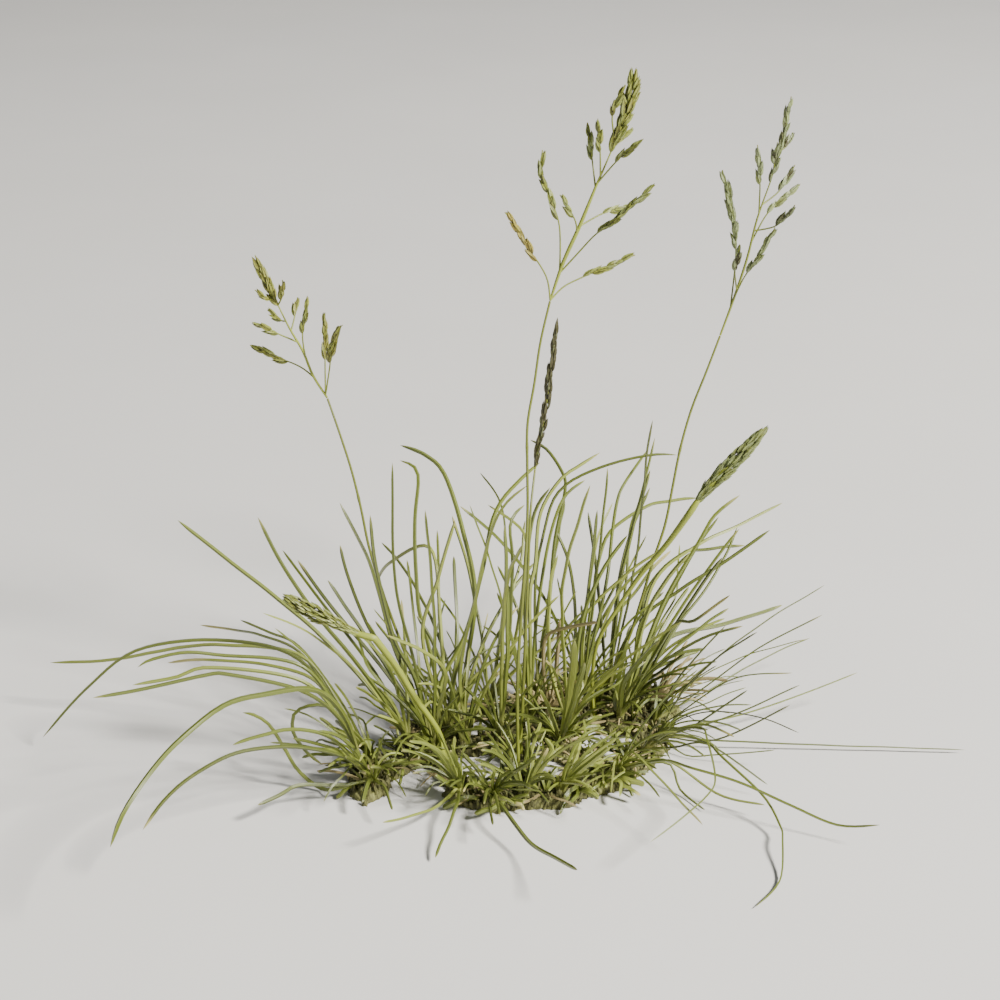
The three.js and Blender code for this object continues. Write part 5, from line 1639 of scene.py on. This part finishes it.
def culm_radii(count, girth):
    """A thin culm tapers and swells at its joints, and a sheathed one widens up to its head"""
    foot, top = girth
    radii = []
    for i in range(count + 1):
        share = i / count
        swell = sum(math.exp(-(((share - joint) / JOINT_REACH) ** 2)) for joint in CULM_JOINTS)
        grown = share**CULM_SWELLING if top > foot else share
        radii.append(foot + (top - foot) * grown + JOINT_SWELL * swell)
    return radii


def round_sizes(material):
    """What the strand tree takes for round stems"""
    return {"Sides": STEM_SIDES, "Thickness": 1.0, "Fold": 0.0, "Material": material}


def sheath_on_head(stem, spine):
    """The places and radii of the sheath's end, which still holds the foot of a closed head"""
    held = PACKED_HEADS[stem["name"]][-1]
    places = even_steps(spine, LOOK_UP)
    count = len(SHEATH_END)
    line = [places[whole(held * LOOK_UP * (i + 1) / count)] for i in range(count)]
    return line, [stem["girth"][1] * STOUT_SLIM * size for size in SHEATH_END]


def culm_piece(stem, plan, material):
    """A culm with the end of a stout one's sheath, and old sheaths round its foot"""
    line = plan["culm"]
    foot, top = stem["girth"]
    stout = top > foot
    tone = CULM_TONE["stout" if stout else "thin"]
    girth = (foot * STOUT_SLIM, top * STOUT_SLIM) if stout else (foot, top)
    count = max(CULM_LEAST_STEPS, whole(line_length(line) / CULM_STEP_FINE))
    places = smooth_line(line, count)
    end, end_radii = sheath_on_head(stem, plan["spine"]) if stout else ([], [])
    strands = [stem_strand(places + end, culm_radii(count, girth) + end_radii, tone)]
    off = foot * CULM_SHEATH_OFF
    for k in range(CULM_SHEATHS):
        heading = 2 * math.pi * k / CULM_SHEATHS
        aside = (math.cos(heading), math.sin(heading), 0)
        low = plus((line[0][0], line[0][1], CROWN_HEIGHT - CULM_SHEATH_SUNK), aside, off)
        rise = (CULM_SHEATH_REACH + CULM_SHEATH_STEP * k) / CULM_STEP_FINE
        high = plus(places[whole(rise)], aside, off)
        radii = [foot * size for size in CULM_SHEATH_SIZES]
        sheath = smooth_line([low, toward(low, high, 0.5), high], len(radii) - 1)
        strands.append(stem_strand(sheath, radii, tone + STEM_PALER))
    name = stem["name"]
    finish_piece(strands_piece("stem_" + name, strands, round_sizes(material)), "culm", "culm_" + name)


def spikelet_half(share):
    """Half the thickness of a spikelet, which is a slim spindle"""
    return SPIKELET_HALF * math.sin(math.pi * min(1, max(SPIKELET_LEAST, share)) ** SPIKELET_FULL)


def scale_mesh():
    """One spikelet, a unit long: two glumes and four lemmas that clasp it from two sides in turn"""
    points, faces, up, edge = [], [], [], []
    for i, (start, reach) in enumerate(SPIKELET_SCALES):
        side = 1 if i % 2 else -1
        first = len(points)
        points.append((0.0, 0.0, start))
        up.append(0.0)
        for share in SCALE_SECTIONS:
            height = start + reach * share
            out = side * spikelet_half(height) * (1.0 + SCALE_STANDS * share)
            back = out * (SCALE_BACK - SCALE_BACK * share)
            broad = spikelet_half(height) * (SCALE_BROAD - SCALE_NARROWS * share)
            points += [(out, 0.0, height), (back, broad, height), (back, -broad, height)]
            up += [share] * 3
        size, more = SCALE_TIP
        points.append((side * (spikelet_half(start + reach) * size + more), 0.0, start + reach))
        up.append(1.0)
        edge += [0.0, 0.0, 1.0, -1.0, 0.0, 1.0, -1.0, 0.0]
        for k in range(3):
            n = (k + 1) % 3
            wall = [
                (first, first + 1 + n, first + 1 + k),
                (first + 1 + k, first + 1 + n, first + 4 + n, first + 4 + k),
                (first + 4 + k, first + 4 + n, first + 7),
            ]
            faces += [tuple(reversed(face)) if side < 0 else face for face in wall]
    return plain_mesh("spikelet_shape", points, [], faces, scale_up=up, scale_edge=edge)


def head_half(share, broadest):
    """Half the width of a head at a share of its length, 1 where it is broadest"""
    power = math.log(0.5) / math.log(broadest)
    return math.sin(math.pi * min(1, max(0, share)) ** power) ** SPINDLE_FULL


def bunched(share, bunches, strength):
    """The share of the way, drawn towards the nearest of evenly set bunches"""
    turns = 2 * math.pi * bunches
    return share - strength * math.sin(turns * share) / turns


def crowded_spikelets(line, first, form, count, size, random):
    """Spikelets in a spiral along a line from its share first on, with their tips on a spindle form.
    The form is half its width, how far up it is broadest, the share of that width at the roots, half
    its width at its foot, and how bunched its spikelets are"""
    half, broadest, rooted, foot, strength = form
    places = even_steps(line, LOOK_UP)
    reach = line_length(line)
    last = max(first + LEAFY_LEAST, 1 - LAST_TIP * size / reach)
    bunches = max(1, whole((last - first) * reach / (BUNCH_EVERY * size)))
    found = []
    for i in range(count):
        even = (i + 0.5) / count
        share = first + (last - first) * bunched(even, bunches, strength)
        end = min(1, share + size * between(random, REACH_VARIES) / reach)
        start, stop = (math.floor(at * LOOK_UP) for at in (share, end))
        along = direction_at(places, start)
        side = across_at(along, i * SPIRAL_TURN + random())
        inner, outer = (
            max(half * head_half((at - first) / (SPINDLE_END - first), broadest), foot * (1 - at))
            for at in (share, end)
        )
        filling = CORE_SHARE if strength == 0 and i % CORE_EVERY == 0 else 1.0
        off = max(LEAST_OFF, outer * filling * between(random, REACH_VARIES))
        tip = plus(plus(places[stop], side, off), along, (random() - 0.5) * TIP_STRAYS)
        tip = plus(tip, across_at(along, round(even * bunches) * SPIRAL_TURN), BUNCH_LEAN * strength)
        root = plus(places[start], side, inner * rooted * filling)
        way = unit(minus(tip, root))
        found.append((root, way, across_at(way, i * SPIRAL_TURN), math.dist(root, tip)))
    return found


def head_spikelets(stem, plan, random):
    """All spikelets of a head, each with its shade"""
    name = stem["name"]
    if name in PACKED_HEADS:
        half, broadest, count, size, beyond, held = PACKED_HEADS[name]
        spine = plan["spine"]
        line = spine + [plus(spine[-1], direction_at(spine, len(spine) - 1), beyond)]
        foot = stem["girth"][1] * STOUT_SLIM * PAST_SHEATH if held else 0.0
        form = (half, broadest, PACKED_ROOT, foot, 0.0)
        packed = crowded_spikelets(line, IN_SHEATH * held, form, count, size, random)
        return [(one, between(random, BRANCH_SHADE)) for one in packed]
    found = []
    for part, (line, bare) in enumerate(plan["leafy"]):
        shade = between(random, BRANCH_SHADE) + GOLDEN_BRANCHES.get((name, part), 0.0)
        full = FULL_BRANCHES.get((name, part), 1.0)
        form = (BRAID_HALF * full, BRAID_BROADEST, BRAID_ROOT, 0.0, BUNCH)
        count = whole(line_length(line) * (1 - bare - LEAFY_AFTER) * full / BRAID_STEP)
        count = max(LEAST_SPIKELETS, count)
        for one in crowded_spikelets(line, bare + LEAFY_AFTER, form, count, SPIKELET_REACH, random):
            found.append((one, shade + between(random, BRANCH_SHADE)))
    return found


def spikelet_points(name, spikelets, tone):
    points, ways, faces, sizes, tones = [], [], [], [], []
    for (place, way, face, reach), shade in spikelets:
        points.append(tuple(value * MM for value in place))
        ways += way
        faces += face
        sizes.append(reach * MM)
        tones.append(tone + shade)
    return plain_mesh(name, points, [], [], way=ways, face=faces, grown=sizes, tone=tones)


def panicle_piece(stem, plan, stalk, husk, shape, random):
    """A panicle: its rachis and hair-thin branches, and the spikelets that crowd them"""
    name = stem["name"]
    tone = RIPENESS_AND_SHADE[name]
    swell, reach = RACHIS_SWELL.get(name, THIN_SWELL)
    taper = []
    for i in range(RACHIS_STEPS + 1):
        share = i / RACHIS_STEPS
        thicker = 1 + swell * math.sin(math.pi * min(1, share / reach))
        taper.append(RACHIS_RADIUS * thicker * (1 - RACHIS_TAPER * share))
    strands = [stem_strand(smooth_line(plan["spine"], RACHIS_STEPS), taper, tone + RACHIS_PALER)]
    thinner = [BRANCH_RADIUS * (1 - TWIG_TAPER * i / TWIG_STEPS) for i in range(TWIG_STEPS + 1)]
    for branch in plan["branches"]:
        strands.append(stem_strand(smooth_line(branch, TWIG_STEPS), thinner, tone))
    branches = strands_piece("panicle_" + name, strands, round_sizes(stalk))
    points = spikelet_points("spikelets_" + name, head_spikelets(stem, plan, random), tone)
    tree = shared_tree(spikelet_tree, "Spikelets on points")
    slim = PACKED_SLIM if name in PACKED_HEADS else BRAID_SLIM
    sizes = {"Spikelet": shape, "Slimness": slim, "Material": husk}
    spikelets = grow("spikelets_" + name, points, tree, sizes)
    finish_piece(join_pieces([branches, spikelets]), "spikelet", "head_" + name)


def stalk_material(settings):
    green = settings.green
    dark, middle, pale = (tuple(share * value for value in green) for share in STALK_SHADES)
    colors = (green, dark, middle, pale, settings.golden)
    name, ribs, roughness = CULM_LOOK
    return shared_material(blade_material, name, colors, ribs, roughness)


class ALPINE_OT_culms(bpy.types.Operator):
    """Grow the culms that carry the panicles"""

    bl_idname = "alpine.culms"
    bl_label = "Culms"

    def execute(self, context):
        stems = plan_for(context.scene)["stems"]
        material = stalk_material(context.scene.alpine_panicles)
        for stem in STEMS:
            culm_piece(stem, stems[stem["name"]], material)
        return {"FINISHED"}


class ALPINE_OT_panicles(bpy.types.Operator):
    """Grow the six panicles with their spikelets"""

    bl_idname = "alpine.panicles"
    bl_label = "Panicles"

    def execute(self, context):
        stems = plan_for(context.scene)["stems"]
        settings = context.scene.alpine_panicles
        colors = (settings.grey, settings.green, settings.golden, settings.tip)
        husk = shared_material(husk_material, "Husk", colors)
        shape = link_object("spikelet_shape", scale_mesh())
        random = seeded_random(SEEDS["panicles"])
        for stem in STEMS:
            panicle_piece(stem, stems[stem["name"]], stalk_material(settings), husk, shape, random)
        bpy.data.objects.remove(shape)
        return {"FINISHED"}


# The crown
def crown_body():
    """The crown's packed bars as one uneven, rounded body on a flat underside"""
    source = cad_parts["crown"].data.copy()
    body = link_object("crown_core", source)
    shell = bmesh.new()
    shell.from_mesh(source)
    bmesh.ops.remove_doubles(shell, verts=shell.verts, dist=CROWN_WELD)
    shell.to_mesh(source)
    shell.free()
    source.materials.clear()
    remesh = body.modifiers.new("Rounding", "REMESH")
    remesh.mode = "VOXEL"
    remesh.voxel_size = CROWN_VOXEL
    depsgraph = bpy.context.evaluated_depsgraph_get()
    rounded = bpy.data.meshes.new_from_object(body.evaluated_get(depsgraph))
    body.modifiers.remove(remesh)
    body.data = rounded
    bpy.data.meshes.remove(source)
    for vertex in rounded.vertices:
        rough = noise.fractal(vertex.co * CROWN_GRAIN, *CROWN_FRACTAL)
        vertex.co += vertex.normal * rough * CROWN_ROUGH
        vertex.co.z = max(0.0, vertex.co.z)
    return body


def stub_mesh():
    """An old sheath, cut short and slit at its top, a unit high"""
    points, faces = [], []
    for height, radius in STUB_RINGS:
        for k in range(STUB_SIDES):
            angle = 2 * math.pi * k / STUB_SIDES
            ragged = STUB_RAGGED * math.sin(STUB_RAGGED_TURN * k) if height == 1.0 else 0.0
            place = (radius * math.cos(angle), STUB_FLAT * radius * math.sin(angle), height + ragged)
            points.append(place)
    last = STUB_SIDES * (len(STUB_RINGS) - 1)
    for ring in range(0, last, STUB_SIDES):
        above = ring + STUB_SIDES
        for k in range(STUB_SIDES):
            n = (k + 1) % STUB_SIDES
            faces.append((ring + k, ring + n, above + n, above + k))
    faces += [tuple(reversed(range(STUB_SIDES))), tuple(range(last, last + STUB_SIDES))]
    return plain_mesh("stub_shape", points, [], faces)


def litter_strands(count, random):
    """Fallen straws that lie on the crown and lean over its edge"""
    strands = []
    for _ in range(count):
        start, end, _ = CROWN_BARS[math.floor(len(CROWN_BARS) * random())]
        x, y, _ = toward((*start, 0), (*end, 0), random())
        heading = between(random, (0, 2 * math.pi))
        lean = math.radians(between(random, LITTER_LEAN))
        reach = between(random, LITTER_REACH)
        kink = between(random, LITTER_KINK)
        guide = arched_line(
            (x, y, CROWN_HEIGHT - LITTER_SUNK), heading, LITTER_PARTS, reach,
            lambda share: lean + LITTER_BEND * (LITTER_PARTS * share - 0.5),
            lambda x, y: ground_at(x, y) - LITTER_LOWER, kink, 1,
        )
        leaf = {"guide": guide, "width": between(random, LITTER_WIDTH)}
        leaf["turn"] = between(random, LITTER_TURN)
        strands.append(leaf_strand(leaf, random, between(random, TUFT_TONE)))
    return strands


class ALPINE_OT_crown(bpy.types.Operator):
    """Make the crown of packed sheath bases, with straws lying on it"""

    bl_idname = "alpine.crown"
    bl_label = "Crown"

    def execute(self, context):
        settings = context.scene.alpine_straw
        colors = (settings.shadow, settings.brown, context.scene.alpine_leaves.foot)
        fibre = shared_material(crown_material, "Old sheaths", colors)
        stub = link_object("stub_shape", stub_mesh())
        sizes = {"Stub": stub, "Density": settings.density, "Material": fibre}
        tree = shared_tree(stub_tree, "Sheath stubs on the crown")
        grown = grow("crown_sheaths", crown_body().data, tree, sizes)
        bpy.data.objects.remove(stub)
        finish_piece(grown, "crown", "crown")
        strands = litter_strands(settings.litter, seeded_random(SEEDS["litter"]))
        sizes = leaf_sizes(context.scene, "straw", LITTER_SIDES)
        finish_piece(strands_piece("fallen_straw", strands, sizes), "straw")
        return {"FINISHED"}


# The stage
def area_light(name, place, size, power, color):
    light = bpy.data.lights.new(name, "AREA")
    light.shape = "DISK"
    light.size = size
    light.energy = power
    light.color = color
    made = link_object(name, light)
    made.location = place
    made.rotation_euler = (Vector(LIT_POINT) - Vector(place)).to_track_quat("-Z", "Y").to_euler()


class ALPINE_OT_stage(bpy.types.Operator):
    """Set up the pale floor, the soft lights and the camera"""

    bl_idname = "alpine.stage"
    bl_label = "Stage"

    def execute(self, context):
        settings = context.scene.alpine_stage
        sides = ((-1, -1), (1, -1), (1, 1), (-1, 1))
        corners = [(FLOOR_REACH * x, FLOOR_REACH * y, 0) for x, y in sides]
        mesh = plain_mesh("floor", corners, [], [(0, 1, 2, 3)])
        mesh.materials.append(floor_material("Pale floor", settings.floor))
        link_object("floor", mesh)
        for name, place, size, power, color in LIGHTS:
            area_light(name, place, size, getattr(settings, power), color)
        world = bpy.data.worlds.new("Soft sky")
        world.use_nodes = True
        background = world.node_tree.nodes["Background"]
        background.inputs["Color"].default_value = SKY_COLOR
        background.inputs["Strength"].default_value = SKY_STRENGTH
        context.scene.world = world
        camera = link_object("camera", bpy.data.cameras.new("camera"))
        camera.data.lens = settings.lens
        camera.data.sensor_width = CAMERA_SENSOR
        camera.data.clip_end = CAMERA_REACH
        camera.location = [value * MM for value in EYE]
        camera.rotation_euler = (math.pi / 2 - VIEW_TILT, 0.0, 0.0)
        context.scene.camera = camera
        return {"FINISHED"}


class ALPINE_PT_tussock(bpy.types.Panel):
    """Lists the steps that build the tussock, with their settings"""

    bl_idname = "ALPINE_PT_tussock"
    bl_label = "Alpine bluegrass"
    bl_space_type = "VIEW_3D"
    bl_region_type = "UI"
    bl_category = "Bluegrass"

    def draw(self, context):
        for step in STEPS:
            self.layout.operator(step.bl_idname)
        for name in SETTINGS:
            box = self.layout.box()
            group = getattr(context.scene, name)
            for key in group.bl_rna.properties.keys():
                if key not in {"rna_type", "name"}:
                    box.prop(group, key)


SETTINGS = {
    "alpine_leaves": AlpineLeafSettings,
    "alpine_straw": AlpineStrawSettings,
    "alpine_panicles": AlpinePanicleSettings,
    "alpine_stage": AlpineStageSettings,
}
STEPS = (
    ALPINE_OT_stage, ALPINE_OT_leaves, ALPINE_OT_shoots, ALPINE_OT_straw, ALPINE_OT_culms,
    ALPINE_OT_panicles, ALPINE_OT_crown,
)


def register():
    for made in (*SETTINGS.values(), *STEPS, ALPINE_PT_tussock):
        bpy.utils.register_class(made)
    for name, group in SETTINGS.items():
        setattr(bpy.types.Scene, name, PointerProperty(type=group))


def unregister():
    for name in SETTINGS:
        delattr(bpy.types.Scene, name)
    for made in reversed((*SETTINGS.values(), *STEPS, ALPINE_PT_tussock)):
        bpy.utils.unregister_class(made)


def main():
    register()
    bpy.ops.alpine.stage()
    bpy.ops.alpine.leaves()
    bpy.ops.alpine.shoots()
    bpy.ops.alpine.straw()
    bpy.ops.alpine.culms()
    bpy.ops.alpine.panicles()
    bpy.ops.alpine.crown()


if __name__ == "__main__":
    main()
